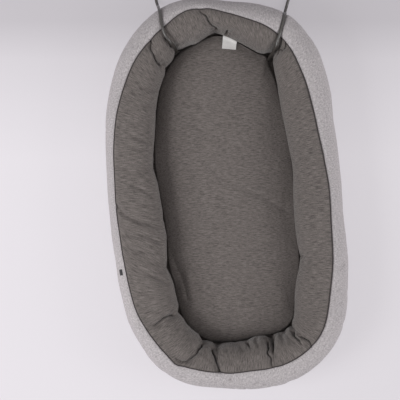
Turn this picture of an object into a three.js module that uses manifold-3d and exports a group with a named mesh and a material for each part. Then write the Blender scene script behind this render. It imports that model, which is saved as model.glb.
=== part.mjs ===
// An infant lounger: a stuffed roll sewn into a ring round a flat floor with a loose mattress on it.
// Millimetres. X runs across, +Y points to the head end, +Z points up.
// The origin is the middle of the underside, on the surface that the lounger lies on.

import * as THREE from 'three';
import { mergeVertices } from 'three/addons/utils/BufferGeometryUtils.js';
import Module from 'manifold-3d';

// Driving dimensions: the whole lounger
const NEST_LENGTH = 850;
const NEST_WIDTH = 530;
const NEST_HEIGHT = 126;

// Driving dimensions: the roll and what covers it
const ROLL_WIDTH = 107;
const ROLL_SAG = 5;
const COVER_THICKNESS = 1.8;
const FILLING_CLEARANCE = 0.5;
const PIPING_RADIUS = 1.6;
const BOLSTER_END_GAP = 6;
const BOLSTER_END_TAPER_SHARE = 0.86;

// Driving dimensions: the floor inside the ring, from the bottom up
const BASE_THICKNESS = 5;
const BASE_REACH = 31;
const WADDING_THICKNESS = 7;
const LINING_THICKNESS = 1.2;
const FLOOR_CLEARANCE = 1.5;

// Driving dimensions: the loose mattress
const MATTRESS_THICKNESS = 26;
const MATTRESS_CROWN = 4;
const MATTRESS_CLEARANCE = 1.5;
const TICKING_THICKNESS = 1.2;

// Driving dimensions: the two hanging cords, their knots and the tabs that anchor them
const CORD_DIAMETER = 6.5;
const CORD_SIDES = 8;
const CORD_STEPS = 40;
const KNOT_DIAMETER = 17;
const KNOT_LENGTH = 20;
const KNOT_SIDES = 10;
const KNOT_RINGS = 7;
const ANCHOR_WIDTH = 11;
const ANCHOR_THICKNESS = 4;
const ANCHOR_HEIGHT = 12.4;
const ANCHOR_CLEARANCE = 1;

// Driving dimensions: labels
const CARE_LABEL_WIDTH = 31;
const CARE_LABEL_LENGTH = 23;
const CARE_LABEL_THICKNESS = 0.8;
const CARE_LABEL_X = 5.5;
const CARE_LABEL_INSET = 4;
const LABEL_CLEARANCE = 0.5;
const SIDE_LABEL_WIDTH = 13;
const SIDE_LABEL_HEIGHT = 10;
const SIDE_LABEL_THICKNESS = 0.8;

// Driving dimensions: the zip in the underside
const ZIP_LENGTH = 440;
const ZIP_CENTRE_Y = -10;
const ZIP_SLOT_WIDTH = 18;
const ZIP_TAPE_WIDTH = 15;
const ZIP_TAPE_THICKNESS = 0.8;
const ZIP_TOOTH_WIDTH = 2.2;
const ZIP_TOOTH_HEIGHT = 2;
const ZIP_ROW_GAP = 1.8;
const ZIP_STOP_LENGTH = 4;
const SLIDER_LENGTH = 12;
const SLIDER_WIDTH = 10;
const SLIDER_PLATE = 0.9;
const SLIDER_POST_WIDTH = 1.2;
const SLIDER_POST_LENGTH = 3;
const SLIDER_ARCH_WIDTH = 2.4;
const SLIDER_ARCH_LENGTH = 6;
const SLIDER_ARCH_BAR = 0.7;
const PULL_LENGTH = 24;
const PULL_WIDTH = 7;
const PULL_THICKNESS = 0.8;
const PULL_BAR = 1;

// One small gap keeps neighbours that touch on the real object apart
const GAP = 0.3;
const CUT_OVERRUN = 1;

// Sizes that follow from those above
const ROLL_HALF = ROLL_WIDTH / 2;
const ROLL_SEAT = BASE_THICKNESS + GAP;
const ROLL_HALF_HEIGHT = (NEST_HEIGHT - ROLL_SEAT + ROLL_SAG) / 2;
const ROLL_CENTRE_Z = NEST_HEIGHT - ROLL_HALF_HEIGHT;
const RING_HALF_WIDTH = NEST_WIDTH / 2 - ROLL_HALF;
const RING_HALF_LENGTH = NEST_LENGTH / 2 - ROLL_HALF;
const FILLING_DEPTH = COVER_THICKNESS + FILLING_CLEARANCE;
const WADDING_Z = BASE_THICKNESS + GAP;
const LINING_Z = WADDING_Z + WADDING_THICKNESS + GAP;
const MATTRESS_Z = LINING_Z + LINING_THICKNESS + GAP;
const MATTRESS_TOP = MATTRESS_Z + MATTRESS_THICKNESS;

// The roll's middle line, clockwise from the notch at the head, as seen from above:
// shares of the ring's half width and half length
const ROLL_PATH_SHARES = [
  [0.02, 0.99], [0.52, 0.92], [0.77, 0.69], [0.88, 0.31],
  [0.95, -0.09], [1.0, -0.48], [0.91, -0.8], [0.58, -0.96],
  [0.01, -1.0], [-0.49, -0.93], [-0.77, -0.7], [-0.91, -0.34],
  [-0.98, 0.08], [-0.99, 0.46], [-0.84, 0.78], [-0.51, 0.98],
];

// How full the roll is on its inner side: share of the way round, share of the roll's half width
const INNER_FULLNESS_SHARES = [
  [0, 0.42], [0.012, 0.59], [0.025, 0.78], [0.043, 0.9], [0.09, 0.96], [0.122, 1.1],
  [0.156, 1.04], [0.204, 0.91], [0.241, 0.96], [0.27, 1.03], [0.306, 0.98], [0.354, 1.14],
  [0.385, 1.04], [0.415, 0.95], [0.462, 1.13], [0.493, 0.9], [0.52, 0.86], [0.551, 1.06],
  [0.578, 1.05], [0.611, 1.16], [0.631, 1.22], [0.655, 1.12], [0.694, 1.22], [0.74, 1.1],
  [0.774, 0.96], [0.82, 1.02], [0.874, 0.94], [0.907, 0.9], [0.935, 0.89], [0.962, 0.84],
  [0.975, 0.6], [0.985, 0.36],
];

// How far the piped seam lies in from the outer edge: share of the way round, share of the half width
const RIM_INSET_SHARES = [
  [0, 0.62], [0.03, 0.85], [0.064, 1.06], [0.1, 1.04], [0.132, 0.97], [0.159, 0.85],
  [0.202, 0.69], [0.235, 0.59], [0.26, 0.62], [0.306, 0.7], [0.368, 0.84], [0.435, 0.86],
  [0.467, 0.88], [0.5, 0.77], [0.532, 0.78], [0.563, 0.77], [0.593, 0.59], [0.623, 0.47],
  [0.677, 0.37], [0.742, 0.32], [0.786, 0.36], [0.837, 0.53], [0.867, 0.65], [0.929, 0.82],
  [0.963, 0.56], [0.98, 0.52],
];

// Creases drawn into the roll by its seams, its ends and the cords. Shares of the way round at the
// outer and the inner end, then shares of the half width: depth outside, depth inside, half width.
const CREASE_SHARES = [
  [0.048, 0.067, 0.1, 0.36, 0.28],
  [0.307, 0.306, 0, 0.1, 0.4],
  [0.401, 0.404, 0.06, 0.24, 0.2],
  [0.409, 0.419, 0.06, 0.12, 0.18],
  [0.455, 0.442, 0.08, 0.42, 0.26],
  [0.4855, 0.476, 0.03, 0.14, 0.3],
  [0.506, 0.513, 0.12, 0.3, 0.26],
  [0.5535, 0.532, 0.1, 0.18, 0.26],
  [0.594, 0.596, 0, 0.2, 0.26],
  [0.702, 0.655, 0.02, 0.12, 0.36],
  [0.7265, 0.71, 0.02, 0.08, 0.36],
  [0.7735, 0.7675, 0.02, 0.08, 0.36],
  [0.9205, 0.896, 0.08, 0.16, 0.22],
  [0.933, 0.924, 0.1, 0.24, 0.26],
  [0.9595, 0.987, 0.16, 0.12, 0.28],
];

// Section of the roll: a rounded square, so a power above that of an ellipse
const SECTION_POWER = 2.3;
const BASE_SEAM_ANGLE = THREE.MathUtils.degToRad(64);
const FLAT_ANGLE = THREE.MathUtils.degToRad(75);
const OUTER_COVER_STEPS = 5;
const ROLL_COVER_STEPS = 6;
const PIPING_SIDES = 6;
const PLAIN_STATIONS = 42;
const STATION_SPACING_SHARE = 0.6;
const LEAST_SPACING_SHARE = 0.2;
const CREASE_FADE_SHARE = 1.4;
const BOX_SAMPLES = 800;
const LENGTH_SAMPLES = 1600;

// Cord routes, chosen by hand: up from the anchor in the inner wall's crease, over the roll,
// down the outer wall and along the surface to the knot
const CORD_ROUTE_LEFT = [
  [-109, 312, 27],
  [-109, 312, 44],
  [-109, 312, 62],
  [-109.8, 312.8, 78],
  [-111.5, 314.5, 92],
  [-114, 317, 104.5],
  [-117.5, 320.5, 111.5],
  [-121.5, 324.5, 117.5],
  [-126, 330, 122.5],
  [-130.5, 336, 124.4],
  [-135, 345, 125],
  [-138, 355, 125],
  [-141, 367, 120.8],
  [-143, 380, 116.5],
  [-145, 391, 108.5],
  [-147, 400, 94.5],
  [-148.5, 406, 77],
  [-149, 408.5, 58],
  [-149.4, 409.5, 40],
  [-150.2, 412, 24],
  [-152.3, 419, 11],
  [-155, 429, 5],
  [-158, 442, 4],
  [-160.5, 452, 6.4],
  [-163, 461, 8.8],
  [-165, 468.5, 9],
];

const CORD_ROUTE_RIGHT = [
  [92.5, 296, 27],
  [93, 296.6, 46],
  [93.8, 297.8, 64],
  [94.5, 298.8, 80],
  [95.8, 300.4, 94],
  [98.4, 304, 107],
  [102, 310.3, 115],
  [105.5, 318, 118.6],
  [108, 327.5, 120.4],
  [110.5, 337, 122.4],
  [113, 345, 122.4],
  [116, 355, 119.6],
  [119, 365.5, 116.8],
  [121.7, 374.4, 111.4],
  [124.4, 383.2, 102.5],
  [126.2, 390.2, 85],
  [127, 393, 64],
  [127.5, 394.5, 44],
  [128.2, 397, 26],
  [130.2, 404, 12],
  [133.5, 415, 5],
  [137.5, 429, 4],
  [141.5, 443, 4],
  [144, 452, 6.4],
  [146.3, 461, 8.8],
  [148.2, 468.5, 9],
];

// Places on the way round: the anchors in the creases that the cords lie in, and the side label.
// The label's height is a share of the outer cover's height.
const ANCHOR_LEFT_SHARE = 0.924;
const ANCHOR_RIGHT_SHARE = 0.0676;
const SIDE_LABEL_PLACE_SHARE = 0.6478;
const SIDE_LABEL_HEIGHT_SHARE = 0.86;

// Materials, with the photographed colours
function material(color, roughness, metalness = 0) {
  return new THREE.MeshStandardMaterial({ color, roughness, metalness });
}

const FINISHES = {
  marl: material(0xaaa5a4, 0.95),
  jersey: material(0x67615f, 0.95),
  piping: material(0x45403f, 0.85),
  filling: material(0xf2f0ea, 1),
  ticking: material(0x625c59, 0.95),
  foam: material(0xe9e4d2, 1),
  wadding: material(0xf4f2ee, 1),
  label: material(0xe4e2de, 0.8),
  blackLabel: material(0x1d1c1c, 0.8),
  cord: material(0x484443, 0.45),
  tape: material(0x8d8887, 0.9),
  coil: material(0x7c7877, 0.4),
  metal: material(0x9a9a9c, 0.35, 1),
};

const group = new THREE.Group();

function addPiece(name, geometry, finish) {
  const mesh = new THREE.Mesh(geometry, finish);
  mesh.name = name;
  group.add(mesh);
  return mesh;
}

// Value of a table of [place, value] rows at a place on a loop of length 1
function alongLoop(table, place, column = 1) {
  const at = place - Math.floor(place);
  const last = table.length - 1;
  for (let i = 0; i <= last; i += 1) {
    const from = table[i];
    const to = table[(i + 1) % table.length];
    const span = i === last ? to[0] + 1 - from[0] : to[0] - from[0];
    const run = at - from[0] + (i === last && at < from[0] ? 1 : 0);
    if (run >= 0 && run < span) {
      return THREE.MathUtils.lerp(from[column], to[column], run / span);
    }
  }
  return table[last][column];
}

// The middle line as a closed curve that just fills the ring's box
function makeRollPath() {
  const points = ROLL_PATH_SHARES.map(
    ([x, y]) => new THREE.Vector3(x * RING_HALF_WIDTH, y * RING_HALF_LENGTH, 0),
  );
  const box = new THREE.Box3().setFromPoints(closedCurve(points).getPoints(BOX_SAMPLES));
  const centre = box.getCenter(new THREE.Vector3());
  const size = box.getSize(new THREE.Vector3());
  points.forEach((point) => {
    point.sub(centre);
    point.x *= (2 * RING_HALF_WIDTH) / size.x;
    point.y *= (2 * RING_HALF_LENGTH) / size.y;
  });
  const curve = closedCurve(points);
  curve.arcLengthDivisions = LENGTH_SAMPLES;
  return curve;
}

function closedCurve(points) {
  return new THREE.CatmullRomCurve3(points, true, 'centripetal');
}

const rollPath = makeRollPath();
const ROLL_PATH_LENGTH = rollPath.getLength();

function pathPoint(share, outwards) {
  const at = THREE.MathUtils.euclideanModulo(share, 1);
  const point = rollPath.getPointAt(at);
  const tangent = rollPath.getTangentAt(at);
  return new THREE.Vector3(point.x - tangent.y * outwards, point.y + tangent.x * outwards, 0);
}

// Creases by the place of their middle, with their lean from the outer to the inner end
const creases = CREASE_SHARES.map(([outer, inner, outerDepth, innerDepth, halfWidth]) => ({
  place: (outer + inner) / 2,
  lean: inner - outer,
  outerDepth: outerDepth * ROLL_HALF,
  innerDepth: innerDepth * ROLL_HALF,
  halfWidth: halfWidth * ROLL_HALF,
}));
const leanTable = creases.map(({ place, lean }) => [place, lean]);

// Distance between two places on the loop, the shorter way round
function distanceRound(from, to) {
  const away = THREE.MathUtils.euclideanModulo(to - from, 1);
  return Math.min(away, 1 - away) * ROLL_PATH_LENGTH;
}

// Depth of the creases under the full roll, between its outer side (0) and its inner side (1)
function creaseDepth(station, inwards) {
  return creases.reduce((depth, crease) => {
    const away = distanceRound(crease.place, station) / crease.halfWidth;
    const deepest = THREE.MathUtils.lerp(crease.outerDepth, crease.innerDepth, inwards);
    return Math.max(depth, deepest * Math.max(0, 1 - away));
  }, 0);
}

function roundedPower(value) {
  return Math.sign(value) * Math.abs(value) ** (2 / SECTION_POWER);
}

// A place on the roll: how far it is outwards from the middle line and how high it is.
// The angle goes round the section from the outer side (0) over the crown to the inner side (180).
// The depth is measured square to the skin.
function sectionPoint(station, angle, depth) {
  const inwards = (1 - Math.cos(angle)) / 2;
  const share = station + alongLoop(leanTable, station) * (inwards - 0.5);
  const fullness = Math.cos(angle) < 0 ? alongLoop(INNER_FULLNESS_SHARES, share) : 1;
  const half = ROLL_HALF * fullness;
  const out = half * roundedPower(Math.cos(angle));
  const up = ROLL_HALF_HEIGHT * roundedPower(Math.sin(angle));
  const overSeam = Math.sin(angle) + Math.sin(BASE_SEAM_ANGLE);
  const grip = THREE.MathUtils.clamp(overSeam * CREASE_FADE_SHARE, 0, 1);
  const keep = 1 - (creaseDepth(station, inwards) * grip) / Math.hypot(out, up);
  const square = new THREE.Vector2(
    slope(out / half) / half,
    slope(up / ROLL_HALF_HEIGHT) / ROLL_HALF_HEIGHT,
  );
  square.normalize().multiplyScalar(depth);
  return { share, out: out * keep - square.x, up: up * keep - square.y };
}

function slope(value) {
  return Math.sign(value) * Math.abs(value) ** (SECTION_POWER - 1);
}

function rollPoint(station, angle, depth) {
  const { share, out, up } = sectionPoint(station, angle, depth);
  const point = pathPoint(share, out);
  point.z = Math.max(ROLL_CENTRE_Z + up, ROLL_SEAT);
  return point;
}

function rimAngle(station) {
  const across = 1 - alongLoop(RIM_INSET_SHARES, station);
  return Math.acos(Math.sign(across) * Math.abs(across) ** (SECTION_POWER / 2));
}

// Stations along the roll: three at each crease and plain ones between them
function makeStations() {
  const atCreases = creases.flatMap(({ place, halfWidth }) => {
    const reach = halfWidth / ROLL_PATH_LENGTH;
    return [place - reach, place, place + reach];
  });
  const plain = Array.from({ length: PLAIN_STATIONS }, (_, i) => i / PLAIN_STATIONS);
  const room = STATION_SPACING_SHARE / PLAIN_STATIONS;
  const clear = plain.filter((place) =>
    atCreases.every((taken) => distanceRound(taken, place) > room * ROLL_PATH_LENGTH));
  const least = (creases[0].halfWidth / ROLL_PATH_LENGTH) * LEAST_SPACING_SHARE;
  return [...atCreases, ...clear]
    .map((place) => THREE.MathUtils.euclideanModulo(place, 1))
    .sort((a, b) => a - b)
    .filter((place, i, all) => i === 0 || place - all[i - 1] > least);
}

const stations = makeStations();

// A closed solid from a row of loops of points. The row closes on itself, or has flat ends.
// From the point backFrom on, a loop runs back under its own face, and its quads are split to match.
function sweptSolid(loops, closesOnItself, backFrom = Infinity) {
  const count = loops[0].length;
  const positions = loops.flat().flatMap((point) => point.toArray());
  const index = [];
  const rows = closesOnItself ? loops.length : loops.length - 1;
  for (let row = 0; row < rows; row += 1) {
    const next = (row + 1) % loops.length;
    for (let i = 0; i < count; i += 1) {
      const j = (i + 1) % count;
      const [a, b, c, d] = [row * count + i, next * count + i, next * count + j, row * count + j];
      index.push(...(i < backFrom ? [a, b, c, a, c, d] : [a, b, d, b, c, d]));
    }
  }
  if (!closesOnItself) {
    capLoop(loops[0], 0, positions, index, true);
    capLoop(loops.at(-1), (loops.length - 1) * count, positions, index, false);
  }
  return facingOut(positions, index);
}

function loopMiddle(loop) {
  const sum = loop.reduce((total, point) => total.add(point), new THREE.Vector3());
  return sum.divideScalar(loop.length);
}

// Closes a loop with a fan round its middle
function capLoop(loop, first, positions, index, starts) {
  const centre = positions.length / 3;
  positions.push(...loopMiddle(loop).toArray());
  loop.forEach((_, i) => {
    const a = first + i;
    const b = first + ((i + 1) % loop.length);
    index.push(...(starts ? [centre, a, b] : [centre, b, a]));
  });
}

// Turns the faces round if the solid would be inside out
function facingOut(positions, index) {
  let volume = 0;
  const corner = (i) => new THREE.Vector3().fromArray(positions, index[i] * 3);
  for (let i = 0; i < index.length; i += 3) {
    volume += corner(i).dot(corner(i + 1).cross(corner(i + 2)));
  }
  const faces = volume < 0 ? index.toReversed() : index;
  const geometry = new THREE.BufferGeometry();
  geometry.setAttribute('position', new THREE.Float32BufferAttribute(positions, 3));
  geometry.setIndex(faces);
  geometry.computeVertexNormals();
  return geometry;
}

// Angles between two ends, in equal steps
function spread(from, to, steps) {
  return Array.from({ length: steps + 1 }, (_, i) => THREE.MathUtils.lerp(from, to, i / steps));
}

const coverEdge = (PIPING_RADIUS + FILLING_CLEARANCE) / ROLL_HALF;

function outerCoverAngles(station) {
  return spread(-BASE_SEAM_ANGLE, rimAngle(station) - coverEdge, OUTER_COVER_STEPS);
}

function rollCoverAngles(station) {
  return spread(rimAngle(station) + coverEdge, Math.PI + BASE_SEAM_ANGLE, ROLL_COVER_STEPS);
}

// A sewn sheet that wraps part of the roll, all the way round the ring
function ringSheet(anglesAt) {
  const loops = stations.map((station) => {
    const angles = anglesAt(station);
    const face = angles.map((angle) => rollPoint(station, angle, 0));
    const back = angles.map((angle) => rollPoint(station, angle, COVER_THICKNESS));
    return [...face, ...back.reverse()];
  });
  return sweptSolid(loops, true, loops[0].length / 2);
}

// The piping sits in the gap between the two covers: flush with their backs, and proud of their faces
function makePiping() {
  const loops = stations.map((station) => {
    const angle = rimAngle(station);
    const { share, out, up } = sectionPoint(station, angle, COVER_THICKNESS - PIPING_RADIUS);
    return Array.from({ length: PIPING_SIDES }, (_, i) => {
      const turn = (i / PIPING_SIDES) * 2 * Math.PI + angle;
      const point = pathPoint(share, out + PIPING_RADIUS * Math.cos(turn));
      point.z = ROLL_CENTRE_Z + up + PIPING_RADIUS * Math.sin(turn);
      return point;
    });
  });
  return sweptSolid(loops, true);
}

// The filling is one stuffed tube. Its two rounded ends meet at the notch in the head.
function makeFilling() {
  const notch = creases.at(-1).place;
  const first = stations.findIndex((station) => distanceRound(notch, station) < GAP);
  const order = [...stations.slice(first), ...stations.slice(0, first + 1)];
  const loops = order.map((station) => {
    const flat = [Math.PI + FLAT_ANGLE, 2 * Math.PI - FLAT_ANGLE];
    const angles = [...outerCoverAngles(station), ...rollCoverAngles(station), ...flat];
    return angles.map((angle) => rollPoint(station, angle, FILLING_DEPTH));
  });
  const near = BOLSTER_END_GAP / 2 / distanceRound(order[0], order[1]);
  const far = BOLSTER_END_GAP / 2 / distanceRound(order.at(-1), order.at(-2));
  loops[0].forEach((point, i) => point.lerp(loops[1][i], near));
  loops.at(-1).forEach((point, i) => point.lerp(loops.at(-2)[i], far));
  [loops[0], loops.at(-1)].forEach((end) => {
    const middle = loopMiddle(end);
    end.forEach((point) => point.lerp(middle, 1 - BOLSTER_END_TAPER_SHARE));
  });
  return sweptSolid(loops, false);
}

addPiece('bolster_filling', makeFilling(), FINISHES.filling);
addPiece('outer_cover', ringSheet(outerCoverAngles), FINISHES.marl);
addPiece('roll_cover', ringSheet(rollCoverAngles), FINISHES.jersey);
addPiece('rim_piping', makePiping(), FINISHES.piping);

// The floor of the nest. Its flat layers fill the ring inside the roll's lower wall.

function innerShare(station) {
  return station + alongLoop(leanTable, station) / 2;
}

// A loop inside the ring, a clearance away from the full roll, whose reach there is a share of
// its widest
function innerLoop(reachShare, clearance, z) {
  return stations.map((station) => {
    const share = innerShare(station);
    const reach = ROLL_HALF * alongLoop(INNER_FULLNESS_SHARES, share) * reachShare;
    const point = pathPoint(share, -reach - clearance);
    point.z = z;
    return point;
  });
}

function reachShareAt(z) {
  const rise = Math.abs(z - ROLL_CENTRE_Z) / ROLL_HALF_HEIGHT;
  return (1 - rise ** SECTION_POWER) ** (1 / SECTION_POWER);
}

const floorReachShare = reachShareAt(LINING_Z + LINING_THICKNESS);

function floorLayer(z, thickness) {
  return sweptSolid([
    innerLoop(floorReachShare, FLOOR_CLEARANCE, z),
    innerLoop(floorReachShare, FLOOR_CLEARANCE, z + thickness),
  ], false);
}

// The base panel: the underside of the whole nest, with a slot for the zip
function makeBasePanel() {
  const edge = stations.map((station) => {
    const point = pathPoint(station - alongLoop(leanTable, station) / 2, BASE_REACH);
    return new THREE.Vector2(point.x, point.y);
  });
  const shape = new THREE.Shape(edge);
  const half = ZIP_SLOT_WIDTH / 2;
  const end = ZIP_LENGTH / 2;
  shape.holes.push(new THREE.Path([
    new THREE.Vector2(-half, ZIP_CENTRE_Y - end),
    new THREE.Vector2(half, ZIP_CENTRE_Y - end),
    new THREE.Vector2(half, ZIP_CENTRE_Y + end),
    new THREE.Vector2(-half, ZIP_CENTRE_Y + end),
  ]));
  return new THREE.ExtrudeGeometry(shape, { depth: BASE_THICKNESS, bevelEnabled: false });
}

const wasm = await Module();
wasm.setup();

function toSolid(geometry) {
  const bare = geometry.clone();
  bare.deleteAttribute('normal');
  bare.deleteAttribute('uv');
  const merged = mergeVertices(bare);
  return new wasm.Manifold(new wasm.Mesh({
    numProp: 3,
    vertProperties: new Float32Array(merged.attributes.position.array),
    triVerts: new Uint32Array(merged.index.array),
  }));
}

function fromSolid(solid) {
  const mesh = solid.getMesh();
  const geometry = new THREE.BufferGeometry();
  geometry.setAttribute('position', new THREE.Float32BufferAttribute(mesh.vertProperties, 3));
  geometry.setIndex(Array.from(mesh.triVerts));
  geometry.computeVertexNormals();
  return geometry;
}

function block(width, length, height, x, y, z) {
  return new THREE.BoxGeometry(width, length, height).translate(x, y, z + height / 2);
}

// The zip's tapes lie on the base panel, beside its slot, with the rows of teeth between them
const tapeInner = ZIP_ROW_GAP / 2 + ZIP_TOOTH_WIDTH + GAP;
const tapeZ = BASE_THICKNESS + GAP;
const tapeMiddleZ = tapeZ + ZIP_TAPE_THICKNESS / 2;
const toothTopZ = tapeMiddleZ + ZIP_TOOTH_HEIGHT / 2;
const sliderTopZ = toothTopZ + GAP + SLIDER_PLATE;
const grooveHalf = tapeInner + ZIP_TAPE_WIDTH + GAP;
const grooveEnd = ZIP_LENGTH / 2 + ZIP_STOP_LENGTH + GAP;

// The wadding has a groove over the zip, which clears its slider
function makeWadding() {
  const grooveDepth = sliderTopZ + GAP - WADDING_Z;
  const groove = block(2 * grooveHalf, 2 * grooveEnd, grooveDepth + CUT_OVERRUN,
    0, ZIP_CENTRE_Y, WADDING_Z - CUT_OVERRUN);
  const layer = floorLayer(WADDING_Z, WADDING_THICKNESS);
  return fromSolid(toSolid(layer).subtract(toSolid(groove)));
}

addPiece('base_panel', makeBasePanel(), FINISHES.marl);
addPiece('base_wadding', makeWadding(), FINISHES.wadding);
addPiece('floor_lining', floorLayer(LINING_Z, LINING_THICKNESS), FINISHES.jersey);

// The loose mattress: a foam pad in a cover of two panels, with a low crown.
// It stays inside the roll's fullest line, so that it lifts straight out.
const MATTRESS_EDGE_SHARES = [
  [0.5, 0.2],
  [0, 0.4],
  [0.4, 0.88],
  [1.4, 1],
];
const MATTRESS_CROWN_SHARES = [
  [0.8, 0.6],
  [0.4, 1],
];
const MATTRESS_EDGE_INSET = 5;

// Loops from the foot of the mattress's wall up to its crown, set in by the layers around it
function mattressLoops(inset, bottomZ, topZ) {
  const wall = MATTRESS_EDGE_SHARES.map(([insetShare, riseShare], i) => innerLoop(
    1,
    MATTRESS_CLEARANCE + inset + insetShare * MATTRESS_EDGE_INSET,
    i === 0 ? bottomZ : THREE.MathUtils.lerp(bottomZ, topZ, riseShare),
  ));
  const edge = wall.at(-1);
  const top = MATTRESS_CROWN_SHARES.map(([spreadShare, riseShare]) => edge.map((point) => {
    const flat = point.clone().multiplyScalar(spreadShare);
    return flat.setZ(topZ + MATTRESS_CROWN * riseShare);
  }));
  return [...wall, ...top];
}

const baseTickingTop = MATTRESS_Z + TICKING_THICKNESS;
const tickingLayer = TICKING_THICKNESS + GAP;

function makeMattressTopCover() {
  const face = mattressLoops(0, baseTickingTop + GAP, MATTRESS_TOP);
  const back = mattressLoops(TICKING_THICKNESS, baseTickingTop + GAP, MATTRESS_TOP - TICKING_THICKNESS);
  return sweptSolid([...back.reverse(), ...face], false);
}

function makeMattressBaseCover() {
  const inset = MATTRESS_CLEARANCE + MATTRESS_EDGE_SHARES[0][0] * MATTRESS_EDGE_INSET;
  return sweptSolid([innerLoop(1, inset, MATTRESS_Z), innerLoop(1, inset, baseTickingTop)], false);
}

addPiece('mattress_cover_base', makeMattressBaseCover(), FINISHES.ticking);
addPiece('mattress_cover_top', makeMattressTopCover(), FINISHES.ticking);
addPiece('mattress_foam',
  sweptSolid(mattressLoops(tickingLayer, baseTickingTop + GAP, MATTRESS_TOP - tickingLayer), false),
  FINISHES.foam);

// The care label is sewn to the mattress's head end and lies on its sloping top
function makeCareLabel() {
  const edge = ROLL_HALF * alongLoop(INNER_FULLNESS_SHARES, 0) + MATTRESS_CLEARANCE;
  const lastInset = MATTRESS_EDGE_SHARES.at(-1)[0] * MATTRESS_EDGE_INSET;
  const headY = pathPoint(0, -edge - lastInset).y - CARE_LABEL_INSET;
  const [spreadShare, riseShare] = MATTRESS_CROWN_SHARES[0];
  const slopeRise = (MATTRESS_CROWN * riseShare) / (headY * (1 - spreadShare));
  const label = block(CARE_LABEL_WIDTH, CARE_LABEL_LENGTH, CARE_LABEL_THICKNESS,
    0, -CARE_LABEL_LENGTH / 2, LABEL_CLEARANCE);
  return label.rotateX(-Math.atan(slopeRise))
    .translate(CARE_LABEL_X, headY, MATTRESS_TOP + CARE_LABEL_INSET * slopeRise);
}

// The side label lies flat on one facet of the outer cover's wall
function makeSideLabel() {
  const next = stations.findIndex((station) => station > SIDE_LABEL_PLACE_SHARE);
  const facet = Math.floor(SIDE_LABEL_HEIGHT_SHARE * OUTER_COVER_STEPS);
  const corners = [stations[next - 1], stations[next]].flatMap((station) =>
    [0, 1].map((i) => rollPoint(station, outerCoverAngles(station)[facet + i], 0)));
  const [lowFrom, highFrom, lowTo, highTo] = corners;
  const along = lowTo.clone().add(highTo).sub(lowFrom).sub(highFrom).normalize();
  const upwards = highFrom.clone().add(highTo).sub(lowFrom).sub(lowTo).normalize();
  const outwards = upwards.clone().cross(along).normalize();
  along.crossVectors(outwards, upwards);
  const turn = new THREE.Matrix4().makeBasis(upwards, along, outwards);
  const round = (SIDE_LABEL_PLACE_SHARE - stations[next - 1]) / (stations[next] - stations[next - 1]);
  const middle = lowFrom.lerp(lowTo, round)
    .lerp(highFrom.lerp(highTo, round), SIDE_LABEL_HEIGHT_SHARE * OUTER_COVER_STEPS - facet);
  return block(SIDE_LABEL_HEIGHT, SIDE_LABEL_WIDTH, SIDE_LABEL_THICKNESS, 0, 0, LABEL_CLEARANCE)
    .applyMatrix4(turn)
    .translate(...middle.toArray());
}

addPiece('care_label', makeCareLabel(), FINISHES.label);
addPiece('side_label', makeSideLabel(), FINISHES.blackLabel);

// The hanging cords, each from a sewn tab at the roll's inner seam to a knot
function makeCordPath(route) {
  const points = route.map((place) => new THREE.Vector3(...place));
  return new THREE.CatmullRomCurve3(points, false, 'centripetal');
}

function makeCord(path) {
  const section = new THREE.Shape(spread(0, 2 * Math.PI, CORD_SIDES).slice(1).map((turn) =>
    new THREE.Vector2(Math.cos(turn), Math.sin(turn)).multiplyScalar(CORD_DIAMETER / 2)));
  return new THREE.ExtrudeGeometry(section, { steps: CORD_STEPS, extrudePath: path, bevelEnabled: false });
}

function makeKnot(path) {
  const away = path.getTangentAt(1);
  const middle = path.getPointAt(1).addScaledVector(away, KNOT_LENGTH / 2 + GAP);
  const ball = new THREE.SphereGeometry(1, KNOT_SIDES, KNOT_RINGS).rotateX(Math.PI / 2);
  ball.scale(KNOT_LENGTH / 2, KNOT_DIAMETER / 2, KNOT_DIAMETER / 2);
  return ball.rotateZ(Math.atan2(away.y, away.x)).translate(...middle.toArray());
}

// An anchor stands on the floor lining, in the roll's crease, under the cord's start
function makeAnchor(share) {
  const foot = LINING_Z + LINING_THICKNESS + GAP;
  const full = ROLL_HALF * alongLoop(INNER_FULLNESS_SHARES, share);
  const reach = full * reachShareAt(foot + ANCHOR_HEIGHT) + ANCHOR_CLEARANCE;
  const place = pathPoint(share, -reach);
  const outwards = pathPoint(share, 0).sub(place);
  return block(ANCHOR_THICKNESS, ANCHOR_WIDTH, ANCHOR_HEIGHT, 0, 0, foot)
    .rotateZ(Math.atan2(outwards.y, outwards.x))
    .translate(place.x, place.y, 0);
}

[
  ['left', CORD_ROUTE_LEFT, ANCHOR_LEFT_SHARE],
  ['right', CORD_ROUTE_RIGHT, ANCHOR_RIGHT_SHARE],
].forEach(([side, route, anchorShare]) => {
  const path = makeCordPath(route);
  addPiece(`cord_anchor_${side}`, makeAnchor(anchorShare), FINISHES.tape);
  addPiece(`hanging_cord_${side}`, makeCord(path), FINISHES.cord);
  addPiece(`cord_knot_${side}`, makeKnot(path), FINISHES.cord);
});

// Zip: two tapes, two rows of teeth, a slider with its pull, and a stop at each end
function makeTeeth(side) {
  const x = side * (ZIP_ROW_GAP + ZIP_TOOTH_WIDTH) / 2;
  return block(ZIP_TOOTH_WIDTH, ZIP_LENGTH, ZIP_TOOTH_HEIGHT,
    x, ZIP_CENTRE_Y, toothTopZ - ZIP_TOOTH_HEIGHT);
}

function makeTape(side) {
  const x = side * (tapeInner + ZIP_TAPE_WIDTH / 2);
  return block(ZIP_TAPE_WIDTH, ZIP_LENGTH, ZIP_TAPE_THICKNESS, x, ZIP_CENTRE_Y, tapeZ);
}

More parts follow.
